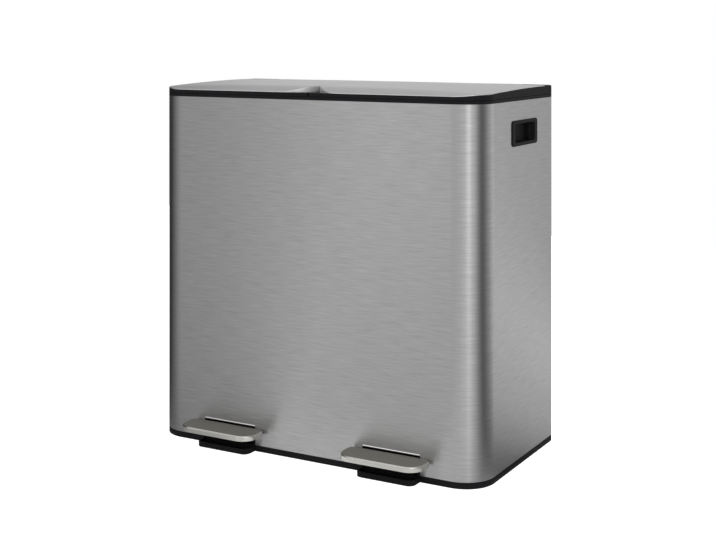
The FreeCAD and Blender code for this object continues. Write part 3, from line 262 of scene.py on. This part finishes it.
def plated_steel(name, bright, dull):
    """Zinc plated mild steel, passivated: a soft shine with a faint crystal mottle."""
    material, tree, shader = start_material(name, [("Metallic", 1.0)])
    crystal = 3 * MM
    shiny, dulled = 0.28, 0.42
    where = add_node(tree, "ShaderNodeTexCoord")
    mottle = add_node(tree, "ShaderNodeTexNoise",
                      values=[("Scale", 1 / crystal), ("Detail", 2.0)],
                      links=[("Vector", where.outputs["Object"])])
    colour = add_node(tree, "ShaderNodeMix", [("data_type", "RGBA")],
                      [("A", linear_colour(dull)), ("B", linear_colour(bright))],
                      [("Factor", mottle.outputs["Fac"])])
    rough = add_node(tree, "ShaderNodeMapRange",
                     values=[("To Min", shiny), ("To Max", dulled)],
                     links=[("Value", mottle.outputs["Fac"])])
    tree.links.new(colour.outputs["Result"], shader.inputs["Base Color"])
    tree.links.new(rough.outputs[0], shader.inputs["Roughness"])
    return material


def moulded_plastic(name, base, worn, roughness, texture, gloss):
    """An injection moulded part with a spark-eroded texture: even colour, a soft sheen
    and faint cloudy patches where the texture is rubbed or the melt has flowed."""
    plastic_ior = 1.53
    material, tree, shader = start_material(name, [
        ("IOR", plastic_ior), ("Specular IOR Level", gloss)])
    patch = 45 * MM
    patch_change = 0.06     # of the roughness, up and down
    texture_depth = 0.02 * MM
    where = add_node(tree, "ShaderNodeTexCoord")
    cloud = add_node(tree, "ShaderNodeTexNoise",
                     values=[("Scale", 1 / patch), ("Detail", 4.0)],
                     links=[("Vector", where.outputs["Object"])])
    colour = add_node(tree, "ShaderNodeMix", [("data_type", "RGBA")],
                      [("A", linear_colour(base)), ("B", linear_colour(worn))],
                      [("Factor", cloud.outputs["Fac"])])
    rough = add_node(tree, "ShaderNodeMapRange",
                     values=[("To Min", roughness - patch_change),
                             ("To Max", roughness + patch_change)],
                     links=[("Value", cloud.outputs["Fac"])])
    pits = add_node(tree, "ShaderNodeTexNoise",
                    values=[("Scale", 1 / texture), ("Detail", 2.0)],
                    links=[("Vector", where.outputs["Object"])])
    pitted = add_node(tree, "ShaderNodeBump",
                      values=[("Strength", 1.0), ("Distance", texture_depth)],
                      links=[("Height", pits.outputs["Fac"])])
    tree.links.new(colour.outputs["Result"], shader.inputs["Base Color"])
    tree.links.new(rough.outputs[0], shader.inputs["Roughness"])
    tree.links.new(pitted.outputs[0], shader.inputs["Normal"])
    return material


def finish(slot):
    """The finish of one of the record's material slots, made once."""
    colours = bpy.context.scene.bin_colours
    makers = {
        # Each steel's fold colour is a painted highlight on its sloping faces.
        "body_steel": lambda: brushed_steel(
            "Stainless_430_belt_brushed", colours.steel_light, colours.steel_dark,
            roughness=0.30, grain_depth=0.014 * MM,
            fold=Fold(colours.steel_fold_highlight, start=0.02, full=0.2, blur=0.6)),
        "lid_steel": lambda: brushed_steel(
            "Stainless_430_brushed_and_pressed", colours.lid_light, colours.lid_dark,
            roughness=0.34, grain_depth=0.010 * MM,
            fold=Fold(colours.lid_fold_highlight, start=0.8, full=0.4, blur=1.6)),
        "pedal_steel": lambda: brushed_steel(
            "Stainless_430_satin_pressing", colours.pedal_light, colours.pedal_dark,
            roughness=0.40, grain_depth=0.008 * MM,
            fold=Fold(colours.pedal_fold_highlight, start=0.97, full=0.85, blur=0.6)),
        "plated_steel": lambda: plated_steel(
            "Mild_steel_zinc_plated", colours.zinc, colours.zinc_dull),
        "black_plastic": lambda: moulded_plastic(
            "ABS_black_spark_textured", colours.black, colours.black_worn,
            roughness=0.5, texture=0.9 * MM, gloss=0.04),
        "grey_plastic": lambda: moulded_plastic(
            "Nylon_grey_moulded", colours.grey, colours.grey_worn,
            roughness=0.5, texture=1.2 * MM, gloss=0.2),
        "bucket_plastic": lambda: moulded_plastic(
            "Polypropylene_moulded", colours.bucket, colours.bucket_worn,
            roughness=0.46, texture=1.5 * MM, gloss=0.15),
        "foot_rubber": lambda: moulded_plastic(
            "Rubber_moulded", colours.rubber, colours.rubber_worn,
            roughness=0.75, texture=1.5 * MM, gloss=0.1),
    }
    name = f"slot {slot}"
    if name not in bpy.context.scene:
        bpy.context.scene[name] = makers[slot]().name
    return bpy.data.materials[bpy.context.scene[name]]


# --------------------------------------------------------------------- shapes of sheet

def rounded_loop(low, high, radii, steps=12, fills=(0, 0, 0, 0)):
    """Points counter-clockwise round a rectangle with round corners, from the corner
    with the lowest coordinates. The fills are the extra points on each straight."""
    (x0, y0), (x1, y1) = low, high
    r0, r1, r2, r3 = radii
    centres = [(x0 + r0, y0 + r0, r0), (x1 - r1, y0 + r1, r1),
               (x1 - r2, y1 - r2, r2), (x0 + r3, y1 - r3, r3)]
    arcs = []
    for index, (x, y, radius) in enumerate(centres):
        turn = math.pi + index * math.pi / 2
        arcs.append([(x + radius * math.cos(turn + step / steps * math.pi / 2),
                      y + radius * math.sin(turn + step / steps * math.pi / 2))
                     for step in range(steps + 1)])
    points = []
    for index, arc in enumerate(arcs):
        points += arc
        start, end = arc[-1], arcs[(index + 1) % 4][0]
        for count in range(1, fills[index] + 1):
            part = count / (fills[index] + 1)
            points.append((start[0] + (end[0] - start[0]) * part,
                           start[1] + (end[1] - start[1]) * part))
    return points


def add_piece(name, form):
    """Turn a form into an object of the scene."""
    mesh = bpy.data.meshes.new(name)
    form.to_mesh(mesh)
    form.free()
    piece = bpy.data.objects.new(name, mesh)
    bpy.context.scene.collection.objects.link(piece)
    return piece


def ring_mesh(name, rings, grain, mirror=False, closed=True):
    """A smooth surface through rings of points with equal counts. A mirrored one is the
    same piece on the other side of the middle."""
    form = bmesh.new()
    if mirror:
        rings = [[Vector((-point[0], point[1], point[2])) for point in reversed(ring)]
                 for ring in rings]
    rows = [[form.verts.new(point) for point in ring] for ring in rings]
    for lower, upper in zip(rows, rows[1:]):
        count = len(lower)
        for index in range(count):
            following = (index + 1) % count
            form.faces.new((lower[index], lower[following], upper[following], upper[index]))
    if closed:
        form.faces.new(rows[-1])
    bmesh.ops.remove_doubles(form, verts=form.verts, dist=0.01 * MM)
    return finish_form(name, form, grain)


def finish_form(name, form, grain):
    """Turn a form into a smooth piece, with the direction of its grain in its UV map."""
    sharpest_bend = math.radians(38)
    layer = form.loops.layers.uv.new("grain")
    form.normal_update()
    for face in form.faces:
        face.smooth = True
        for corner in face.loops:
            corner[layer].uv = grain(corner.vert.co, face.normal)
    piece = add_piece(name, form)
    piece.data.set_sharp_from_angle(angle=sharpest_bend)
    return piece


def settle(piece, body, slot, *nodes):
    """Give a piece its finish and even shading, and fix it to its body."""
    piece.data.materials.append(finish(slot))
    shading = piece.modifiers.new("even shading", "WEIGHTED_NORMAL")
    shading.keep_sharp = True
    if nodes:
        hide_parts(*nodes)
    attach(piece, body)


def bake(piece):
    """Keep the result of the piece's modifiers as its mesh."""
    graph = bpy.context.evaluated_depsgraph_get()
    mesh = bpy.data.meshes.new_from_object(piece.evaluated_get(graph))
    piece.modifiers.clear()
    piece.data = mesh


def block(name, low, high):
    """A plain block, used only to cut openings."""
    form = bmesh.new()
    bmesh.ops.create_cube(form, size=1)
    for vertex in form.verts:
        vertex.co = Vector([(a + b) / 2 + (b - a) * c
                            for a, b, c in zip(low, high, vertex.co)])
    return add_piece(name, form)


def cut_openings(piece, cutters):
    """Take the cutters out of a piece, and then out of the scene."""
    for cutter in cutters:
        opening = piece.modifiers.new(cutter.name, "BOOLEAN")
        opening.operation = "DIFFERENCE"
        opening.object = cutter
    bake(piece)
    for cutter in cutters:
        bpy.data.objects.remove(cutter)


def along_x(place, normal):
    """Grain that runs across the bin."""
    if abs(normal.z) > abs(normal.y):
        return place.x, place.y
    return place.x, place.z


def round_the_body(place, normal):
    """Grain that runs level round the body."""
    corner = bpy.context.scene.bin_sizes.front_corner
    straight = HALF_WIDTH - corner
    side = math.copysign(1, place.x)
    if normal.y > 0.5:
        return -place.x, place.z
    if place.y > FRONT + corner:
        along = straight + corner * math.pi / 2 + place.y - FRONT - corner
        return side * along, place.z
    if abs(place.x) > straight:
        turn = math.atan2(abs(place.x) - straight, FRONT + corner - place.y)
        return side * (straight + corner * turn), place.z
    return place.x, place.z


def pedal_middle(side):
    """Where the middle of a pedal is, across the bin."""
    low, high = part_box(f"{side}_pedal_pad")
    return (low.x + high.x) / 2


# -------------------------------------------------------------------------- the pieces

class BIN_OT_shell(bpy.types.Operator):
    """Make the folded steel body with its pedal and grip openings"""
    bl_idname = "bin.shell"
    bl_label = "Steel body"

    def execute(self, context):
        sizes = context.scene.bin_sizes
        piece = self.make_wall(sizes)
        clear = 10 * MM         # of the cutters, past the sheet
        covered = 2 * MM        # of the grip's hole, by the grip's flange
        cutters = []
        for side, _ in SIDES:
            middle = pedal_middle(side)
            half = sizes.notch_width / 2
            cutters.append(block(f"{side} notch", (middle - half, FRONT - clear, 0),
                                 (middle + half, FRONT + clear, sizes.notch_top)))
            low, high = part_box(f"{side}_side_handle")
            margin = Vector((clear, -covered, -covered))
            cutters.append(block(f"{side} grip hole", low - margin, high + margin))
        cut_openings(piece, cutters)
        form = bmesh.new()
        form.from_mesh(piece.data)
        bpy.data.objects.remove(piece)
        for layer in list(form.loops.layers.uv):
            form.loops.layers.uv.remove(layer)
        settle(finish_form("steel_body", form, round_the_body), "body", "body_steel",
               "outer_shell")
        for side, _ in SIDES:
            self.make_lip(sizes, side)
        return {"FINISHED"}

    def make_wall(self, sizes):
        rings = []
        for inset, level in ((sizes.sheet, shell_high.z), (sizes.sheet, shell_low.z),
                             (0, shell_low.z), (0, shell_high.z)):
            front = sizes.front_corner - inset
            rear = sizes.rear_corner - inset
            loop = rounded_loop((-HALF_WIDTH + inset, FRONT + inset),
                                (HALF_WIDTH - inset, REAR - inset),
                                (front, front, rear, rear), steps=32)
            rings.append([Vector((x, y, level)) for x, y in loop])
        rings.append(rings[0])
        return ring_mesh("wall", rings, round_the_body, closed=False)

    def make_lip(self, sizes, side):
        """The folded edge over the pedal opening: a half round bead with round ends."""
        middle = pedal_middle(side)
        half = sizes.notch_width / 2
        radius = sizes.lip_height / 2
        proud = sizes.lip_proud
        level = sizes.notch_top + radius
        steps = 12
        tip = 0.3       # size of the bead's ends
        rings = []
        for end, shrink in ((-half, tip), (-half + radius, 1), (half - radius, 1),
                            (half, tip)):
            rings.append([Vector((middle + end,
                                  FRONT - proud * shrink * math.sin(math.pi * step / steps),
                                  level + radius * shrink
                                  * math.cos(math.pi * step / steps)))
                          for step in range(steps + 1)])
        piece = ring_mesh(f"{side}_notch_lip", rings, along_x)
        settle(piece, "body", "body_steel")


def lid_height(sizes, across, back):
    """Height of the lid's top over the rim, across from the seam and back from the
    front: a long crown that falls to the side and to the seam, and rolls down in front."""
    crown = sizes.lid_crown - (back - sizes.crown_back) ** 2 / (2 * sizes.crown_radius)
    fall = sizes.side_fall - (sizes.side_fall - sizes.side_fall_rear) * back / (REAR - FRONT)
    level = crown - fall * max(across / HALF_WIDTH, 0) ** 3
    seam_fall = sizes.seam_fall * (1 - back / (REAR - FRONT))
    level -= seam_fall * max(1 - across / sizes.seam_roll, 0) ** 2
    rest = max(1 - back / sizes.front_roll, 0)
    return sizes.lid_front + (level - sizes.lid_front) * (1 - rest ** 2)


class BIN_OT_lids(bpy.types.Operator):
    """Make the two pressed steel lid skins"""
    bl_idname = "bin.lids"
    bl_label = "Lid skins"

    def execute(self, context):
        sizes = context.scene.bin_sizes
        for side, sign in SIDES:
            piece = ring_mesh(f"{side}_lid_skin", self.lid_rings(sizes), along_x,
                              mirror=sign < 0)
            settle(piece, f"{side}_lid", "lid_steel", f"{side}_lid_cover")
        return {"FINISHED"}

    def lid_rings(self, sizes):
        """Rings from under the folded edge, up over it and in to the lid's middle."""
        edge = sizes.lid_edge
        turned = [(edge, None), (0, None)]
        bends = 4
        folded = [(edge * (1 - math.cos(math.pi / 2 * step / bends)),
                   edge * (1 - math.sin(math.pi / 2 * step / bends)))
                  for step in range(bends + 1)]
        inner = [(inset * MM, 0) for inset in (2, 4, 7, 11, 16, 22, 30)]
        rings = [self.ring_at(sizes, inset, drop) for inset, drop in turned + folded + inner]
        last = rings[-1]
        middle = sum(last, Vector()) / len(last)
        shares = 10
        for step in range(1, shares):
            share = 1 - step / shares
            ring = []
            for point in last:
                x = middle.x + (point.x - middle.x) * share
                y = middle.y + (point.y - middle.y) * share
                ring.append(Vector((x, y, RIM_TOP + lid_height(sizes, x, y - FRONT))))
            rings.append(ring)
        return rings

    def ring_at(self, sizes, inset, drop):
        """One ring of the right lid, at an inset from its outline. The drop is under the
        lid's top, or None for the level edge that meets the black frame."""
        low = (sizes.seam_gap / 2 + inset, FRONT + inset)
        high = (HALF_WIDTH - inset, cover_high.y - inset)
        near = sizes.seam_corner - inset
        far = sizes.front_corner - inset
        square = 0.05 * MM      # radius of the rear corners
        tuck = 1.3 * MM         # of the edge, under the lid's top
        loop = rounded_loop(low, high, (near, far, square, square), steps=20,
                            fills=(14, 14, 14, 14))
        ring = []
        for x, y in loop:
            top = RIM_TOP + lid_height(sizes, x, y - FRONT)
            if drop is not None:
                ring.append(Vector((x, y, top - drop)))
            elif x < sizes.seam_corner + sizes.seam_gap and y < high[1] - square:
                ring.append(Vector((x, y, cover_low.z)))
            else:
                ring.append(Vector((x, y, top - tuck)))
        return ring


class BIN_OT_pedals(bpy.types.Operator):
    """Make the two pedal plates with their rolled edges"""
    bl_idname = "bin.pedals"
    bl_label = "Pedal plates"

    def execute(self, context):
        sizes = context.scene.bin_sizes
        for side, _ in SIDES:
            low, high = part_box(f"{side}_pedal_pad")
            bends = 6
            edge = sizes.pad_edge
            sections = [(sizes.pad_sheet, low.z), (0, low.z)]
            sections += [(edge * (1 - math.cos(math.pi / 2 * step / bends)),
                          high.z - edge * (1 - math.sin(math.pi / 2 * step / bends)))
                         for step in range(bends + 1)]
            rings = []
            for inset, level in sections:
                front = sizes.pad_front - inset
                rear = sizes.pad_rear - inset
                loop = rounded_loop((low.x + inset, low.y + inset),
                                    (high.x - inset, high.y - inset),
                                    (front, front, rear, rear), steps=20)
                rings.append([Vector((x, y, level)) for x, y in loop])
            piece = ring_mesh(f"{side}_pedal_plate", rings, along_x)
            settle(piece, f"{side}_pedal", "pedal_steel", f"{side}_pedal_pad")
        return {"FINISHED"}


class BIN_OT_grips(bpy.types.Operator):
    """Make the moulded side grips: a flange, a cup and the step inside it"""
    bl_idname = "bin.grips"
    bl_label = "Side grips"

    def execute(self, context):
        sizes = context.scene.bin_sizes
        low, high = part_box("right_side_handle")
        for side, sign in SIDES:
            piece = ring_mesh(f"{side}_grip", self.grip_rings(sizes, low, high), along_x,
                              mirror=sign < 0)
            settle(piece, "body", "black_plastic", f"{side}_side_handle")
            step = ring_mesh(f"{side}_grip_step", self.step_rings(sizes, low, high), along_x,
                             mirror=sign < 0)
            settle(step, "body", "black_plastic")
        return {"FINISHED"}

    def grip_rings(self, sizes, low, high):
        """Rings over the flange, in at the mouth and down to the cup's floor."""
        bend = sizes.grip_flange / 2
        face = sizes.grip_flange
        floor = -sizes.grip_depth
        turned = bend * FOLD_MIDDLE
        outer = [(0, 0), (0, face - bend), (turned, face - turned), (bend, face)]
        rings = [self.level_loop(low, high, inset, inset, sizes.grip_corner, out)
                 for inset, out in outer]
        mouth = [(-bend, face), (-turned, face - turned), (0, face - bend),
                 (1 * MM, floor + 2 * MM), (1.6 * MM, floor + 0.6 * MM), (3 * MM, floor)]
        rings += [self.level_loop(low, high, sizes.grip_border + inset,
                                  sizes.grip_border_high + inset,
                                  sizes.grip_corner - 1 * MM, out)
                  for inset, out in mouth]
        return rings

    def step_rings(self, sizes, low, high):
        """The raised part of the cup's floor towards the rear, with a round edge."""
        floor = -sizes.grip_depth
        top = floor + sizes.grip_step
        bend = 1 * MM
        turned = bend * FOLD_MIDDLE
        corner = 2 * MM
        near = high.y - sizes.grip_border - sizes.grip_step_width
        step_low = Vector((0, near, low.z + sizes.grip_border_high + bend))
        step_high = Vector((0, high.y - sizes.grip_border - bend / 2,
                            high.z - sizes.grip_border_high - bend))
        return [self.level_loop(step_low, step_high, inset, inset, corner, out)
                for inset, out in ((0, floor), (0, top - bend),
                                   (turned, top - turned), (bend, top))]

    def level_loop(self, low, high, inset_y, inset_z, corner, out):
        """A rounded rectangle at a distance out from the right side."""
        loop = rounded_loop((low.y + inset_y, low.z + inset_z),
                            (high.y - inset_y, high.z - inset_z), (corner,) * 4, steps=10)
        return [Vector((HALF_WIDTH + out, y, z)) for y, z in loop]


class BIN_OT_frame_finishes(bpy.types.Operator):
    """Give every node of the frame the finish of its slot"""
    bl_idname = "bin.frame_finishes"
    bl_label = "Finishes of the frame"

    def execute(self, context):
        slots = {row["node"]: row["material_slot"] for row in frame["record"]["subparts"]}
        for name, node in frame["nodes"].items():
            if not node.material_slots:
                node.data.materials.append(None)
            for place in node.material_slots:
                place.material = finish(slots[name])
        return {"FINISHED"}


# Angle in degrees from -Y towards +X, and the brightness of the studio's wall there.
WALL_TONES = ((-180, 1.05), (-165, 0.98), (-152, 0.98), (-139, 1.05), (-131, 0.25),
              (-115, 0.06), (-90, 0.08), (-74, 0.24), (-58, 0.46), (-38, 0.64),
              (-31, 0.88), (-25, 1.12), (-17, 0.86), (8, 0.86), (26, 1.0), (40, 1.12),
              (50, 1.1), (62, 1.04), (74, 0.52), (84, 0.2), (98, 0.24), (108, 0.46),
              (126, 0.76), (146, 0.98), (155, 0.62), (163, 0.54), (174, 0.6), (180, 1.05))


def wall_tone(turn):
    """Brightness of the studio's wall at an angle."""
    for (start, low), (end, high) in zip(WALL_TONES, WALL_TONES[1:]):
        if start <= turn <= end:
            return low + (high - low) * (turn - start) / (end - start)
    raise ValueError(f"{turn} is outside the wall")


class BIN_OT_studio(bpy.types.Operator):
    """Set up the floor, the soft light, the graded wall and the camera"""
    bl_idname = "bin.studio"
    bl_label = "Studio"

    def execute(self, context):
        self.make_floor(context)
        self.make_world(context)
        self.make_wall()
        self.make_key_light(context)
        self.make_camera(context)
        context.scene.view_settings.view_transform = "Standard"
        return {"FINISHED"}

    def make_floor(self, context):
        """A pale sweep that glows for the camera, but not in the bin's own shadow."""
        reach = 4.0
        inset = 15 * MM         # of the shadow, in from the bin's outline
        corner = 40 * MM
        reflected = 0.3         # of the glow
        form = bmesh.new()
        rows = [[], []]
        for x, y in rounded_loop((-HALF_WIDTH + inset, FRONT + inset),
                                 (HALF_WIDTH - inset, REAR - inset), (corner,) * 4, steps=6):
            edge = Vector((x, y, 0))
            rows[0].append(form.verts.new(edge * reach / edge.length))
            rows[1].append(form.verts.new(edge))
        for index, start in enumerate(rows[1]):
            form.faces.new((rows[0][index - 1], rows[0][index], start, rows[1][index - 1]))
        form.faces.new(rows[1]).material_index = 1
        floor = add_piece("floor", form)
        paper = [("Roughness", 0.9), ("Specular IOR Level", 0.1),
                 ("Base Color", linear_colour(context.scene.bin_colours.floor))]
        material, tree, shader = start_material("Paper_sweep_white",
                                                paper + [("Emission Color", (1, 1, 1, 1))])
        rays = add_node(tree, "ShaderNodeLightPath")
        faint = add_node(tree, "ShaderNodeMath", [("operation", "MULTIPLY")], [(1, reflected)],
                         [(0, rays.outputs["Is Glossy Ray"])])
        glow = add_node(tree, "ShaderNodeMath", [("operation", "ADD")],
                        links=[(0, rays.outputs["Is Camera Ray"]), (1, faint.outputs[0])])
        tree.links.new(glow.outputs[0], shader.inputs["Emission Strength"])
        floor.data.materials.append(material)
        floor.data.materials.append(start_material("Paper_sweep_in_shadow", paper)[0])

    def make_world(self, context):
        world = bpy.data.worlds.new("white studio")
        context.scene.world = world
        tree = empty_tree(world)
        light = add_node(tree, "ShaderNodeBackground",
                         values=[("Color", (1, 1, 1, 1)), ("Strength", 1.0)])
        add_node(tree, "ShaderNodeOutputWorld", links=[("Surface", light.outputs[0])])

    def make_wall(self):
        """Paper flats and black flags round the bin, on floor and wall, which only the
        reflections see. They are graded from flat to flat."""
        form = bmesh.new()
        tones = form.loops.layers.float_color.new("tone")
        turns = range(-180, 181, 3)
        profile = ((0.26, 0.004), (1.0, 0.004), (3.4, 0.004), (3.4, 1.8), (3.0, 2.8))
        shade = 0.8     # of the floor beside the bin
        beside = profile[1][0]
        rows = [[form.verts.new((radius * math.sin(math.radians(turn)),
                                 -radius * math.cos(math.radians(turn)), level))
                 for turn in turns] for radius, level in profile]
        for lower, upper in zip(rows, rows[1:]):
            for index in range(len(turns) - 1):
                face = form.faces.new((lower[index], lower[index + 1],
                                       upper[index + 1], upper[index]))
                for corner in face.loops:
                    place = corner.vert.co
                    turn = math.degrees(math.atan2(place.x, -place.y))
                    tone = wall_tone(turn)
                    if place.z >= profile[-1][1]:
                        tone = 1.0
                    elif place.xy.length < beside:
                        tone *= shade
                    corner[tones] = (tone, tone, tone, 1)
        wall = add_piece("studio_wall", form)
        material = bpy.data.materials.new("Graded_studio_flats")
        tree = empty_tree(material)
        tone = add_node(tree, "ShaderNodeVertexColor", [("layer_name", "tone")])
        glow = add_node(tree, "ShaderNodeEmission", links=[("Color", tone.outputs["Color"])])
        add_node(tree, "ShaderNodeOutputMaterial", links=[("Surface", glow.outputs[0])])
        wall.data.materials.append(material)
        wall.visible_camera = False
        wall.visible_diffuse = False
        wall.visible_shadow = False
        wall.visible_transmission = False

    def make_key_light(self, context):
        """A tall soft box beside the camera, which draws the line down the corner."""
        lamp = bpy.data.lights.new("soft box", "AREA")
        lamp.shape = "RECTANGLE"
        lamp.size = 0.7
        lamp.size_y = 2.4
        lamp.energy = 4.0
        soft_box = bpy.data.objects.new("soft box", lamp)
        context.scene.collection.objects.link(soft_box)
        turn = math.radians(41)
        away = 2.6
        rise = 0.7
        target = Vector((0.2, 0, 0.4))
        offset = Vector((away * math.sin(turn), -away * math.cos(turn), rise))
        soft_box.location = target + offset
        soft_box.rotation_euler = (-offset).to_track_quat("-Z", "Y").to_euler()
        soft_box.visible_camera = False

    def make_camera(self, context):
        image_width = 716
        image_height = 540
        horizon_row = 31.75
        turn = math.radians(29.4)
        lens = bpy.data.cameras.new("camera")
        lens.lens = 65.5
        lens.sensor_width = 36
        lens.shift_y = (horizon_row - image_height / 2) / image_width
        lens.clip_end = 50
        camera = bpy.data.objects.new("camera", lens)
        context.scene.collection.objects.link(camera)
        camera.location = (1.06837, -1.85692, 0.67187)
        camera.rotation_euler = (math.pi / 2, 0, turn)
        context.scene.camera = camera


OPERATORS = (BIN_OT_frame_finishes, BIN_OT_shell, BIN_OT_lids, BIN_OT_pedals, BIN_OT_grips,
             BIN_OT_studio)


class BIN_PT_pieces(bpy.types.Panel):
    """The bin's pieces, sizes and colours"""
    bl_idname = "BIN_PT_pieces"
    bl_label = "Recycling bin"
    bl_space_type = "VIEW_3D"
    bl_region_type = "UI"
    bl_category = "Recycling bin"

    def draw(self, context):
        for operator in OPERATORS:
            self.layout.operator(operator.bl_idname)
        for group in (context.scene.bin_sizes, context.scene.bin_colours):
            column = self.layout.column(align=True)
            for name in group.__annotations__:
                column.prop(group, name)


CLASSES = (BinSizes, BinColours) + OPERATORS + (BIN_PT_pieces,)


def register():
    for item in CLASSES:
        bpy.utils.register_class(item)
    bpy.types.Scene.bin_sizes = bpy.props.PointerProperty(type=BinSizes)
    bpy.types.Scene.bin_colours = bpy.props.PointerProperty(type=BinColours)


def unregister():
    del bpy.types.Scene.bin_colours
    del bpy.types.Scene.bin_sizes
    for item in reversed(CLASSES):
        bpy.utils.unregister_class(item)


def main():
    register()
    bpy.ops.bin.frame_finishes()
    bpy.ops.bin.shell()
    bpy.ops.bin.lids()
    bpy.ops.bin.pedals()
    bpy.ops.bin.grips()
    bpy.ops.bin.studio()


if __name__ == "__main__":
    main()
